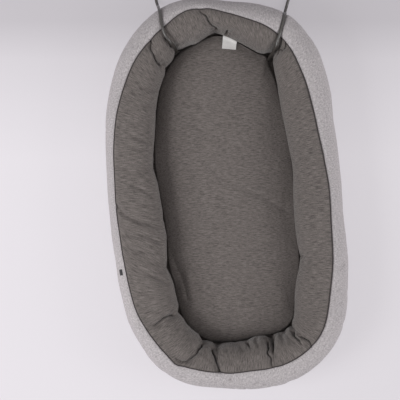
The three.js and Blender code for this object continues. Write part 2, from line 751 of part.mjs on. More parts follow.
const sliderBottomZ = toothTopZ - ZIP_TOOTH_HEIGHT - GAP - SLIDER_PLATE;
const sliderY = ZIP_CENTRE_Y + ZIP_LENGTH / 2 - SLIDER_LENGTH / 2;
const pullRoom = Math.hypot(PULL_BAR, PULL_THICKNESS) + 2 * GAP;
const archDrop = pullRoom + SLIDER_ARCH_BAR;

// The slider: two plates round the teeth, a post between the rows, and an arch under it for the pull
function makeSlider() {
  const lower = block(SLIDER_WIDTH, SLIDER_LENGTH, SLIDER_PLATE, 0, sliderY, sliderBottomZ);
  const upper = block(SLIDER_WIDTH, SLIDER_LENGTH, SLIDER_PLATE, 0, sliderY, toothTopZ + GAP);
  const postY = sliderY + (SLIDER_LENGTH - SLIDER_POST_LENGTH) / 2;
  const post = block(SLIDER_POST_WIDTH, SLIDER_POST_LENGTH, sliderTopZ - sliderBottomZ,
    0, postY, sliderBottomZ);
  const arch = block(SLIDER_ARCH_WIDTH, SLIDER_ARCH_LENGTH, archDrop + SLIDER_PLATE, 0, sliderY,
    sliderBottomZ - archDrop);
  const eye = block(SLIDER_ARCH_WIDTH + 2 * CUT_OVERRUN, SLIDER_ARCH_LENGTH - 2 * SLIDER_ARCH_BAR,
    pullRoom, 0, sliderY, sliderBottomZ - pullRoom);
  return fromSolid(toSolid(lower).add(toSolid(upper)).add(toSolid(post)).add(toSolid(arch))
    .subtract(toSolid(eye)));
}

// The pull: a flat tab with a window at its end, whose bar turns in the slider's arch
const pullZ = sliderBottomZ - (pullRoom + PULL_THICKNESS) / 2;
const windowLength = SLIDER_ARCH_LENGTH / 2 + GAP + PULL_BAR / 2;

function makePull() {
  const barEnd = sliderY + PULL_BAR / 2;
  const tab = block(PULL_WIDTH, PULL_LENGTH, PULL_THICKNESS, 0, barEnd - PULL_LENGTH / 2, pullZ);
  const window = block(SLIDER_ARCH_WIDTH + 2 * GAP, windowLength, PULL_THICKNESS + 2 * CUT_OVERRUN,
    0, barEnd - PULL_BAR - windowLength / 2, pullZ - CUT_OVERRUN);
  return fromSolid(toSolid(tab).subtract(toSolid(window)));
}

function makeStop(side) {
  const y = ZIP_CENTRE_Y + side * (ZIP_LENGTH / 2 + GAP + ZIP_STOP_LENGTH / 2);
  return block(2 * tapeInner, ZIP_STOP_LENGTH, ZIP_TOOTH_HEIGHT, 0, y, tapeZ);
}

addPiece('zip_tape_left', makeTape(-1), FINISHES.tape);
addPiece('zip_tape_right', makeTape(1), FINISHES.tape);
addPiece('zip_teeth_left', makeTeeth(-1), FINISHES.coil);
addPiece('zip_teeth_right', makeTeeth(1), FINISHES.coil);
addPiece('zip_stop_head', makeStop(1), FINISHES.metal);
addPiece('zip_stop_foot', makeStop(-1), FINISHES.metal);
addPiece('zip_slider', makeSlider(), FINISHES.metal);
addPiece('zip_pull', makePull(), FINISHES.metal);

export default group;
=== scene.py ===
# %% [markdown]
# # An infant lounger, dressed
# The real object is a soft nest: a stuffed roll sewn into a ring, a floor inside the ring and a
# loose mattress on that floor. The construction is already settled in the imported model, so this
# lesson only makes its looks. Every length is in metres, +Y points to the head end and +Z points
# up.

import bmesh
import bpy
import numpy as np
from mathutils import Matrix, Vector


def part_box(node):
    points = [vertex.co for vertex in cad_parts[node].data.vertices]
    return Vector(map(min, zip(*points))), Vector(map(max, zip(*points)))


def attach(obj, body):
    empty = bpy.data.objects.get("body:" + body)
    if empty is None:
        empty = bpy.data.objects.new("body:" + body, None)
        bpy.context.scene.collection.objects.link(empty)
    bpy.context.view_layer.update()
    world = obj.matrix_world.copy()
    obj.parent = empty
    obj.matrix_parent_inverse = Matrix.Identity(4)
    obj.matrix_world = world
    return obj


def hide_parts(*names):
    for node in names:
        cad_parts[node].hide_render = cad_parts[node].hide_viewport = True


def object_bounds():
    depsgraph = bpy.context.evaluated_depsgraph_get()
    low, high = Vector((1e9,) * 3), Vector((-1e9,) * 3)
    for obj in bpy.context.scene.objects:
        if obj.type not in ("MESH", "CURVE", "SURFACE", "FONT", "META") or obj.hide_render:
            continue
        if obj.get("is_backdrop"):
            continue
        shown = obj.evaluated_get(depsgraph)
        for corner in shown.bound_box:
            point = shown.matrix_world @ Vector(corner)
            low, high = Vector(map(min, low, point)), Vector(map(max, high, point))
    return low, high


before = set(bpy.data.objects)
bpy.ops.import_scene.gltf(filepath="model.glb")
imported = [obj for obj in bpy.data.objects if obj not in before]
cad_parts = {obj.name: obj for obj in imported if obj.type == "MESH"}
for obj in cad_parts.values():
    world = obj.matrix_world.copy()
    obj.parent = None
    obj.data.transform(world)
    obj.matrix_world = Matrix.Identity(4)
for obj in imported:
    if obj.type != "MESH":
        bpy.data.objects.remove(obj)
cad_low, cad_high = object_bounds()
MM = 0.001
print("nodes", len(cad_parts), "box", [round(x, 3) for x in (*cad_low, *cad_high)])

# %% [markdown]
# The photograph looks straight down on the nest. A camera high over it keeps the walls nearly
# upright in the picture, and its shift stays at zero. The lens follows from the width of floor
# that the picture takes in at the height of the roll's middle.

# %% Camera
CAMERA_HEIGHT = 3000 * MM
CAMERA_X = -58 * MM
CAMERA_Y = -13 * MM
ROLL_MIDDLE_Z = 63 * MM
VIEW_WIDTH = 871 * MM
SENSOR_WIDTH = 36


def make_camera():
    data = bpy.data.cameras.new("camera")
    data.sensor_width = SENSOR_WIDTH
    data.lens = SENSOR_WIDTH * (CAMERA_HEIGHT - ROLL_MIDDLE_Z) / VIEW_WIDTH
    camera = bpy.data.objects.new("camera", data)
    camera.location = (CAMERA_X, CAMERA_Y, CAMERA_HEIGHT)
    bpy.context.scene.collection.objects.link(camera)
    bpy.context.scene.camera = camera
    return camera


camera = make_camera()
print("lens", round(camera.data.lens, 1), "mm")

# %% [markdown]
# Soft goods have few flat faces, so most pieces here are grids of points that a formula places.
# One helper turns such a grid into a mesh. It can close round the ring, and it can carry a UV map
# in real metres, which keeps a knit at one scale wherever the cloth goes. Rows that shrink to one
# point are merged into a pole.


# %% Meshes from grids of points
def link_object(name, mesh):
    piece = bpy.data.objects.new(name, mesh)
    bpy.context.scene.collection.objects.link(piece)
    return piece


def grid_faces(columns, rows, closed_columns, closed_rows):
    """Quads of a grid whose points are numbered column by column."""
    last_column = columns if closed_columns else columns - 1
    last_row = rows if closed_rows else rows - 1
    i, j = np.meshgrid(np.arange(last_column), np.arange(last_row), indexing="ij")
    beside, above = (i + 1) % columns * rows, (j + 1) % rows
    return np.stack([i * rows + j, i * rows + above, beside + above, beside + j], -1)


def grid_mesh(name, points, closed_columns=False, closed_rows=False, uv=None):
    """Mesh of points [column, row, xyz], with optional places [column, row, uv] in metres."""
    columns, rows, _ = points.shape
    faces = grid_faces(columns, rows, closed_columns, closed_rows)
    mesh = bpy.data.meshes.new(name)
    mesh.from_pydata(points.reshape(-1, 3).tolist(), [], faces.reshape(-1, 4).tolist())
    mesh.polygons.foreach_set("use_smooth", [True] * len(mesh.polygons))
    if uv is not None:
        wide, high = faces.shape[:2]
        corners = [uv[:wide, :high], uv[:wide, 1 : high + 1]]
        corners += [uv[1 : wide + 1, 1 : high + 1], uv[1 : wide + 1, :high]]
        layer = mesh.uv_layers.new(name="cloth")
        layer.data.foreach_set("uv", np.stack(corners, 2).ravel())
    mesh.update()
    return mesh


def running(steps):
    """Running total of some steps, from zero."""
    return np.concatenate([[0], np.cumsum(steps)])


def uv_grid(along, across):
    """UV map of a grid whose columns and rows have these places, in metres."""
    return np.stack(np.broadcast_arrays(along[:, None], across[None]), -1)


def raised(place, z):
    """Places of the floor plan, lifted to a height."""
    return np.concatenate([place, np.broadcast_to(z, place.shape[:-1])[..., None]], -1)


def merge_poles(piece, face_out=True):
    """Merges points that lie on one another and turns the faces of the piece outwards."""
    work = bmesh.new()
    work.from_mesh(piece.data)
    bmesh.ops.remove_doubles(work, verts=work.verts, dist=0.001 * MM)
    if face_out:
        bmesh.ops.recalc_face_normals(work, faces=work.faces)
    work.to_mesh(piece.data)
    work.free()
    piece.data.update()
    return piece


def solidify(piece, thickness, offset=-1):
    thick = piece.modifiers.new("thickness", "SOLIDIFY")
    thick.thickness = thickness
    thick.offset = offset
    return piece


def round_edges(piece, width, angle):
    """Bevels the edges where two faces meet at more than an angle in degrees."""
    bevel = piece.modifiers.new("rounded edge", "BEVEL")
    bevel.width = width
    bevel.segments = 2
    bevel.limit_method = "ANGLE"
    bevel.angle_limit = np.radians(angle)
    return piece


def dress(piece, body, slot, *nodes):
    """Says which body the piece rides on and hides the CAD nodes that it stands for. The slot is
    not used.
    """
    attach(piece, body)
    if nodes:
        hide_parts(*nodes)
    return piece


# %% [markdown]
# Cords and the roll both follow a centripetal Catmull-Rom spline, because that curve never loops
# back between points that stand close together.


# %% Splines
CURVE_SAMPLES = 200


def spline(before, start, end, later, samples):
    """Points of the spline's pieces, each from a start point to its end point."""

    def knot(a, b):
        return np.sqrt(np.linalg.norm(b - a, axis=1))[:, None]

    d0, d1, d2 = knot(before, start), knot(start, end), knot(end, later)
    leave = ((start - before) / d0 - (end - before) / (d0 + d1) + (end - start) / d1) * d1
    arrive = ((end - start) / d1 - (later - start) / (d1 + d2) + (later - end) / d2) * d1
    t = np.linspace(0, 1, samples, endpoint=False)[None, :, None]
    p, q, m, n = (value[:, None, :] for value in (start, end, leave, arrive))
    curve = p + m * t + (-3 * p + 3 * q - 2 * m - n) * t**2 + (2 * p - 2 * q + m + n) * t**3
    return curve.reshape(-1, start.shape[1])


def closed_curve(points):
    before, after, later = (np.roll(points, shift, axis=0) for shift in (1, -1, -2))
    return spline(before, points, after, later, CURVE_SAMPLES)


def open_curve(points):
    ends = np.vstack([2 * points[0] - points[1], points, 2 * points[-1] - points[-2]])
    body = spline(ends[:-3], ends[1:-2], ends[2:-1], ends[3:], CURVE_SAMPLES)
    return np.vstack([body, points[-1:]])


def run_along(curve):
    """Distance of each point of a curve from its start."""
    return running(np.linalg.norm(np.diff(curve, axis=0), axis=1))


def evenly(curve, count):
    """The same curve with evenly spaced points."""
    run = run_along(curve)
    wanted = np.linspace(0, run[-1], count)
    return np.stack([np.interp(wanted, run, curve[:, k]) for k in range(curve.shape[1])], -1)


# %% [markdown]
# Each hanging cord is a limp braided cord. It comes out of the crease between two pillows, climbs
# over the roll, hangs down outside it and lies on the floor up to its knot. Its route repeats the
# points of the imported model. The tube's radius follows the braid: two sets of strands that wind
# opposite ways, so the outline is really braided and needs no bump alone.

# %% Cord routes
CORD_DIAMETER = 6.5 * MM
CORD_RINGS = 420
CORD_SIDES = 24
BRAID_RELIEF = 0.07
BRAID_STRANDS = 4
BRAID_PITCH = 17 * MM

CORD_ROUTE_LEFT = [
    (-109, 312, 27), (-109.6, 313, 42), (-111.4, 315.4, 60), (-112.8, 317, 77), (-113.8, 318, 91),
    (-115.4, 319, 103.5), (-118, 321.2, 111.5), (-121.5, 324.5, 117.5), (-126, 330, 122.5),
    (-130.5, 336, 124.4), (-135, 345, 125), (-138, 355, 125), (-141, 367, 120.8),
    (-143, 380, 116.5), (-145, 391, 108.5), (-147, 400, 94.5), (-148.5, 406, 77),
    (-149, 408.5, 58), (-149.4, 409.5, 40), (-150.2, 412, 24), (-152.3, 419, 11), (-155, 429, 5),
    (-158, 442, 4), (-160.5, 452, 6.4), (-163, 461, 8.8), (-165, 468.5, 9),
]  # fmt: skip
CORD_ROUTE_RIGHT = [
    (92.5, 296, 27), (94, 298, 42), (97.4, 303, 60), (99.6, 306.6, 77), (100.9, 308.8, 91),
    (102, 310.6, 102.5), (103.6, 314, 111.5), (106, 319, 117.2), (108, 327.5, 120.4),
    (110.5, 337, 122.4), (113, 345, 122.4), (116, 355, 119.6), (119, 365.5, 116.8),
    (121.7, 374.4, 111.4), (124.4, 383.2, 102.5), (126.2, 390.2, 85), (127, 393, 64),
    (127.5, 394.5, 44), (128.2, 397, 26), (130.2, 404, 12), (133.5, 415, 5), (137.5, 429, 4),
    (141.5, 443, 4), (144, 452, 6.4), (146.3, 461, 8.8), (148.2, 468.5, 9),
]  # fmt: skip


def directions(path):
    """Unit vectors along a path and two across it, carried along without twist."""
    along = np.gradient(path, axis=0)
    along /= np.linalg.norm(along, axis=1, keepdims=True)
    side = np.cross(along[0], (0, 0.6, 0.8))
    sides = []
    for forward in along:
        side = side - forward * (side @ forward)
        side /= np.linalg.norm(side)
        sides.append(side)
    return along, np.array(sides), np.cross(along, sides)


def braided_tube(name, path, radius):
    """Closed tube with rounded ends and a braid in its surface."""
    run = run_along(path)
    turn = np.linspace(0, 2 * np.pi, CORD_SIDES, endpoint=False)[None]
    twist = 2 * np.pi * run[:, None] / BRAID_PITCH
    left = np.abs(np.cos(BRAID_STRANDS * turn / 2 + twist))
    right = np.abs(np.cos(BRAID_STRANDS * turn / 2 - twist))
    relief = 1 - BRAID_RELIEF * (1 - np.maximum(left, right))
    from_end = np.minimum(run, run[-1] - run)
    rounding = np.sqrt(np.clip(1 - np.clip(1 - from_end / radius, 0, 1) ** 2, 0, 1))
    reach = radius * relief * rounding[:, None]
    _, side, up = directions(path)
    ring = side[:, None] * np.cos(turn)[..., None] + up[:, None] * np.sin(turn)[..., None]
    points = path[:, None] + ring * reach[..., None]
    across = np.linspace(0, 2 * np.pi * radius, CORD_SIDES + 1)
    mesh = grid_mesh(name, points, closed_rows=True, uv=uv_grid(run, across))
    return merge_poles(link_object(name, mesh))


# %% [markdown]
# The end of each cord is tied in an overhand knot. Where two strands of that knot pass each other,
# they wind round one another for one and a half turns, and then a loop joins the two strands over
# the top. So the knot is two helices and a loop, in the same cord, with a short tail.

# %% Knots
KNOT_CORD_DIAMETER = 5.6 * MM
KNOT_HALF = 6.2 * MM
KNOT_HELIX = 2.7 * MM
KNOT_TAIL = 9 * MM
KNOT_REST = 5.9 * MM
KNOT_LEAD = 5 * MM
KNOT_LOOP_OUT = 1.9 * MM
KNOT_RINGS = 260


def knot_path(cord_path):
    """Centre line of the knot at the end of a cord, lying on the floor."""
    end = cord_path[-1]
    away = end - cord_path[-6]
    away[2] = 0
    away /= np.linalg.norm(away)
    beside = np.array([-away[1], away[0], 0])
    turn = np.linspace(0, 3 * np.pi, 7)
    x = np.linspace(-KNOT_HALF, KNOT_HALF, 7)
    first, second = (
        np.stack([x, side * np.cos(turn), side * np.sin(turn)], -1)
        for side in (-KNOT_HELIX, KNOT_HELIX)
    )
    wide, high = KNOT_HALF + KNOT_LOOP_OUT, KNOT_HELIX + KNOT_CORD_DIAMETER
    loop = [(wide, 0.62 * high, 0.4 * MM), (0.72 * wide, high, 0), (0, 1.04 * high, 0)]
    loop += [(-0.72 * wide, high, 0), (-wide, 0.62 * high, -0.4 * MM)]
    start = [(-KNOT_HALF - KNOT_LEAD, -0.5 * MM, end[2] - KNOT_REST)]
    tail = [
        (KNOT_HALF + share * KNOT_TAIL, -KNOT_HELIX, -0.2 * KNOT_TAIL * share)
        for share in (0.5, 1)
    ]
    local = np.vstack([start, first, loop, second, tail])
    middle = end + away * (KNOT_HALF + KNOT_LEAD)
    middle[2] = KNOT_REST
    places = middle + local[:, :1] * away + local[:, 1:2] * beside + local[:, 2:] * (0, 0, 1)
    return evenly(open_curve(places), KNOT_RINGS)


cord_paths = {}


def make_cord(side, route):
    path = evenly(open_curve(np.array(route) * MM), CORD_RINGS)
    cord_paths[side] = path
    cord = braided_tube("braided_cord_" + side, path, CORD_DIAMETER / 2)
    dress(cord, "nest", "cord", "hanging_cord_" + side)
    knot = braided_tube("overhand_knot_" + side, knot_path(path), KNOT_CORD_DIAMETER / 2)
    dress(knot, "nest", "cord", "cord_knot_" + side)
    return [cord, knot]


cord_pieces = make_cord("left", CORD_ROUTE_LEFT) + make_cord("right", CORD_ROUTE_RIGHT)

# %% [markdown]
# The roll follows a closed curve. Its control points are shares of the ring's half width and half
# length, joined by the same spline. Places on it are shares of its length, clockwise from the
# notch.

# %% The roll's middle line
NEST_LENGTH = 850 * MM
NEST_WIDTH = 530 * MM
NEST_HEIGHT = 126 * MM
ROLL_WIDTH = 107 * MM
ROLL_SAG = 5 * MM
BASE_THICKNESS = 5 * MM
GAP = 0.3 * MM
ROLL_HALF = ROLL_WIDTH / 2
ROLL_SEAT = BASE_THICKNESS + GAP
ROLL_HALF_HEIGHT = (NEST_HEIGHT - ROLL_SEAT + ROLL_SAG) / 2
ROLL_CENTRE_Z = NEST_HEIGHT - ROLL_HALF_HEIGHT
RING_HALF = np.array([NEST_WIDTH / 2 - ROLL_HALF, NEST_LENGTH / 2 - ROLL_HALF])

ROLL_PATH_SHARES = [
    (0.02, 0.99), (0.52, 0.92), (0.77, 0.69), (0.88, 0.31),
    (0.95, -0.09), (1.0, -0.48), (0.91, -0.8), (0.58, -0.96),
    (0.01, -1.0), (-0.49, -0.93), (-0.77, -0.7), (-0.91, -0.34),
    (-0.98, 0.08), (-0.99, 0.46), (-0.84, 0.78), (-0.51, 0.98),
]  # fmt: skip


def fill_box(points):
    """Centres and scales the control points so that their curve just fills the ring's box."""
    curve = closed_curve(points)
    low, high = curve.min(0), curve.max(0)
    return (points - (low + high) / 2) * 2 * RING_HALF / (high - low)


curve = closed_curve(fill_box(np.array(ROLL_PATH_SHARES) * RING_HALF))
curve = np.vstack([curve, curve[:1]])
curve_run = run_along(curve)
RING_LENGTH = curve_run[-1]


def path_point(share, outwards):
    """Place beside the middle line, as an array [..., xy]."""
    run = np.mod(share, 1) * RING_LENGTH
    step = 0.5 * MM

    def at(where):
        where = np.mod(where, RING_LENGTH)
        return np.stack([np.interp(where, curve_run, curve[:, k]) for k in (0, 1)], -1)

    tangent = at(run + step) - at(run - step)
    tangent /= np.linalg.norm(tangent, axis=-1, keepdims=True)
    outward = np.stack([-tangent[..., 1], tangent[..., 0]], -1)
    return at(run) + outward * np.asarray(outwards)[..., None]


print("ring length", round(RING_LENGTH, 3), "m")

# %% [markdown]
# How full the roll is on its inner side, how far the piped seam lies in from its outer edge and
# where it is drawn into creases all change on the way round. Three tables of shares hold that, read
# off the photograph. A monotone cubic joins the rows, so no bump appears between two of them.

# %% Tables along the roll
INNER_FULLNESS_SHARES = [
    (0, 0.43), (0.012, 0.59), (0.025, 0.78), (0.041, 0.9), (0.051, 0.86), (0.058, 0.73),
    (0.0635, 0.66), (0.07, 0.74), (0.08, 0.85), (0.091, 0.96), (0.122, 1.1),
    (0.156, 1.04), (0.204, 0.91), (0.241, 0.96), (0.27, 1.03), (0.306, 0.98), (0.354, 1.14),
    (0.385, 1.04), (0.415, 0.95), (0.462, 1.13), (0.493, 0.9), (0.52, 0.86), (0.551, 1.06),
    (0.578, 1.05), (0.611, 1.16), (0.631, 1.22), (0.655, 1.12), (0.694, 1.22), (0.74, 1.1),
    (0.774, 0.96), (0.82, 1.02), (0.874, 0.94), (0.907, 0.9), (0.935, 0.89), (0.962, 0.84),
    (0.9725, 0.61), (0.98, 0.44), (0.9875, 0.34),
]  # fmt: skip
RIM_INSET_SHARES = [
    (0, 0.62), (0.03, 0.85), (0.064, 1.06), (0.1, 1.04), (0.132, 0.97), (0.159, 0.85),
    (0.202, 0.69), (0.235, 0.59), (0.26, 0.62), (0.306, 0.7), (0.368, 0.84), (0.435, 0.86),
    (0.467, 0.88), (0.5, 0.76), (0.53, 0.75), (0.54, 0.7), (0.5485, 0.61), (0.555, 0.66),
    (0.563, 0.7), (0.577, 0.67), (0.593, 0.59), (0.623, 0.47),
    (0.677, 0.37), (0.742, 0.32), (0.786, 0.36), (0.837, 0.53), (0.867, 0.65), (0.929, 0.82),
    (0.963, 0.56), (0.98, 0.52),
]  # fmt: skip
# Outer and inner place, then depth outside and inside and half width as shares of the roll's half
CREASE_SHARES = [
    (0.048, 0.067, 0.1, 0.36, 0.28),
    (0.307, 0.306, 0, 0.1, 0.4),
    (0.401, 0.404, 0.06, 0.24, 0.2),
    (0.409, 0.419, 0.06, 0.12, 0.18),
    (0.455, 0.442, 0.08, 0.42, 0.26),
    (0.4855, 0.476, 0.03, 0.14, 0.3),
    (0.506, 0.513, 0.12, 0.3, 0.26),
    (0.5535, 0.532, 0.1, 0.18, 0.26),
    (0.594, 0.596, 0, 0.2, 0.26),
    (0.702, 0.655, 0.02, 0.12, 0.36),
    (0.7265, 0.71, 0.02, 0.08, 0.36),
    (0.7735, 0.7675, 0.02, 0.08, 0.36),
    (0.9205, 0.896, 0.08, 0.16, 0.22),
    (0.933, 0.924, 0.1, 0.24, 0.26),
    (0.9595, 0.987, 0.16, 0.12, 0.28),
]


def around(table, share):
    """Value of a table of (place, value) rows at any place on the closed loop."""
    rows = sorted(table)
    place = np.array([rows[-1][0] - 1] + [r[0] for r in rows] + [rows[0][0] + 1])
    value = np.array([rows[-1][1]] + [r[1] for r in rows] + [rows[0][1]])
    slope = np.diff(value) / np.diff(place)
    ends = np.array([slope[-2], *slope, slope[1]])
    keep = ends[:-1] * ends[1:] > 0
    tangent = np.zeros(len(place))
    tangent[keep] = 2 * (ends[:-1] * ends[1:])[keep] / (ends[:-1] + ends[1:])[keep]
    at = np.mod(share, 1)
    at = np.where(at > place[-1], at - 1, at)
    i = np.clip(np.searchsorted(place, at, side="right") - 1, 0, len(place) - 2)
    span = place[i + 1] - place[i]
    t = (at - place[i]) / span
    stay = value[i] * (1 + 2 * t) * (1 - t) ** 2 + value[i + 1] * t**2 * (3 - 2 * t)
    turn = tangent[i] * t * (1 - t) ** 2 - tangent[i + 1] * t**2 * (1 - t)
    return stay + turn * span


creases = [
    {
        "place": (outer + inner) / 2,
        "lean": inner - outer,
        "outer_depth": outer_depth * ROLL_HALF,
        "inner_depth": inner_depth * ROLL_HALF,
        "half_width": half_width * ROLL_HALF,
    }
    for outer, inner, outer_depth, inner_depth, half_width in CREASE_SHARES
]
LEAN_TABLE = [(crease["place"], crease["lean"]) for crease in creases]


def metres_round(start, end):
    """Distance between two places on the loop, with its sign, the shorter way round."""
    return (np.mod(end - start + 0.5, 1) - 0.5) * RING_LENGTH


print("creases", len(creases))

# %% [markdown]
# A section of the roll is a rounded square with sharper haunches than an ellipse. Where the ring
# is drawn together, a broad shallow valley leans across the roll from the seam to the inner side.
# The outer cover is a separate strip and stays smooth, so the valleys fade out at the seam.

# %% The skin of the roll
SECTION_POWER = 2.3
BASE_SEAM_ANGLE = np.radians(64)
VALLEY_SPREAD = 1.5
VALLEY_CURVE = 1.7
VALLEY_SHARE = 0.6
RIM_FADE_START = -0.35
RIM_FADE_WIDTH = 0.9
BASE_FADE = 1.4


def rounded(value):
    return np.sign(value) * np.abs(value) ** (2 / SECTION_POWER)


def smoothstep(value):
    value = np.clip(value, 0, 1)
    return value * value * (3 - 2 * value)


def rim_angle(station):
    across = 1 - around(RIM_INSET_SHARES, station)
    return np.arccos(np.sign(across) * np.abs(across) ** (SECTION_POWER / 2))


def valley_depth(station, inwards, rim_fade):
    depth = np.zeros(np.broadcast(station, inwards).shape)
    for crease in creases:
        away = np.abs(metres_round(crease["place"], station)) / crease["half_width"]
        fall = np.clip(1 - away / VALLEY_SPREAD, 0, 1) ** VALLEY_CURVE
        deepest = crease["outer_depth"] * (1 - inwards) + crease["inner_depth"] * inwards
        depth = np.maximum(depth, VALLEY_SHARE * deepest * fall)
    return depth * rim_fade


def roll_share(station, angle):
    """Place on the ring of a point of the skin, whose section leans along the creases."""
    inwards = (1 - np.cos(angle)) / 2
    return station + around(LEAN_TABLE, station) * (inwards - 0.5)


def base_grip(angle):
    """Share from 0 at the seams with the base panel to 1 on the free part of the section."""
    return np.clip((np.sin(angle) + np.sin(BASE_SEAM_ANGLE)) * BASE_FADE, 0, 1)


def skin_point(station, angle):
    """Place on the skin. The angle runs from the outer side over the crown to the inner side."""
    share = roll_share(station, angle)
    fullness = np.where(np.cos(angle) < 0, around(INNER_FULLNESS_SHARES, share), 1)
    out = ROLL_HALF * fullness * rounded(np.cos(angle))
    up = ROLL_HALF_HEIGHT * rounded(np.sin(angle))
    rim_fade = smoothstep((angle - rim_angle(station) - RIM_FADE_START) / RIM_FADE_WIDTH)
    pulled = valley_depth(station, (1 - np.cos(angle)) / 2, rim_fade) * base_grip(angle)
    keep = 1 - pulled / np.hypot(out, up)
    return raised(path_point(share, out * keep), np.maximum(ROLL_CENTRE_Z + up * keep, ROLL_SEAT))
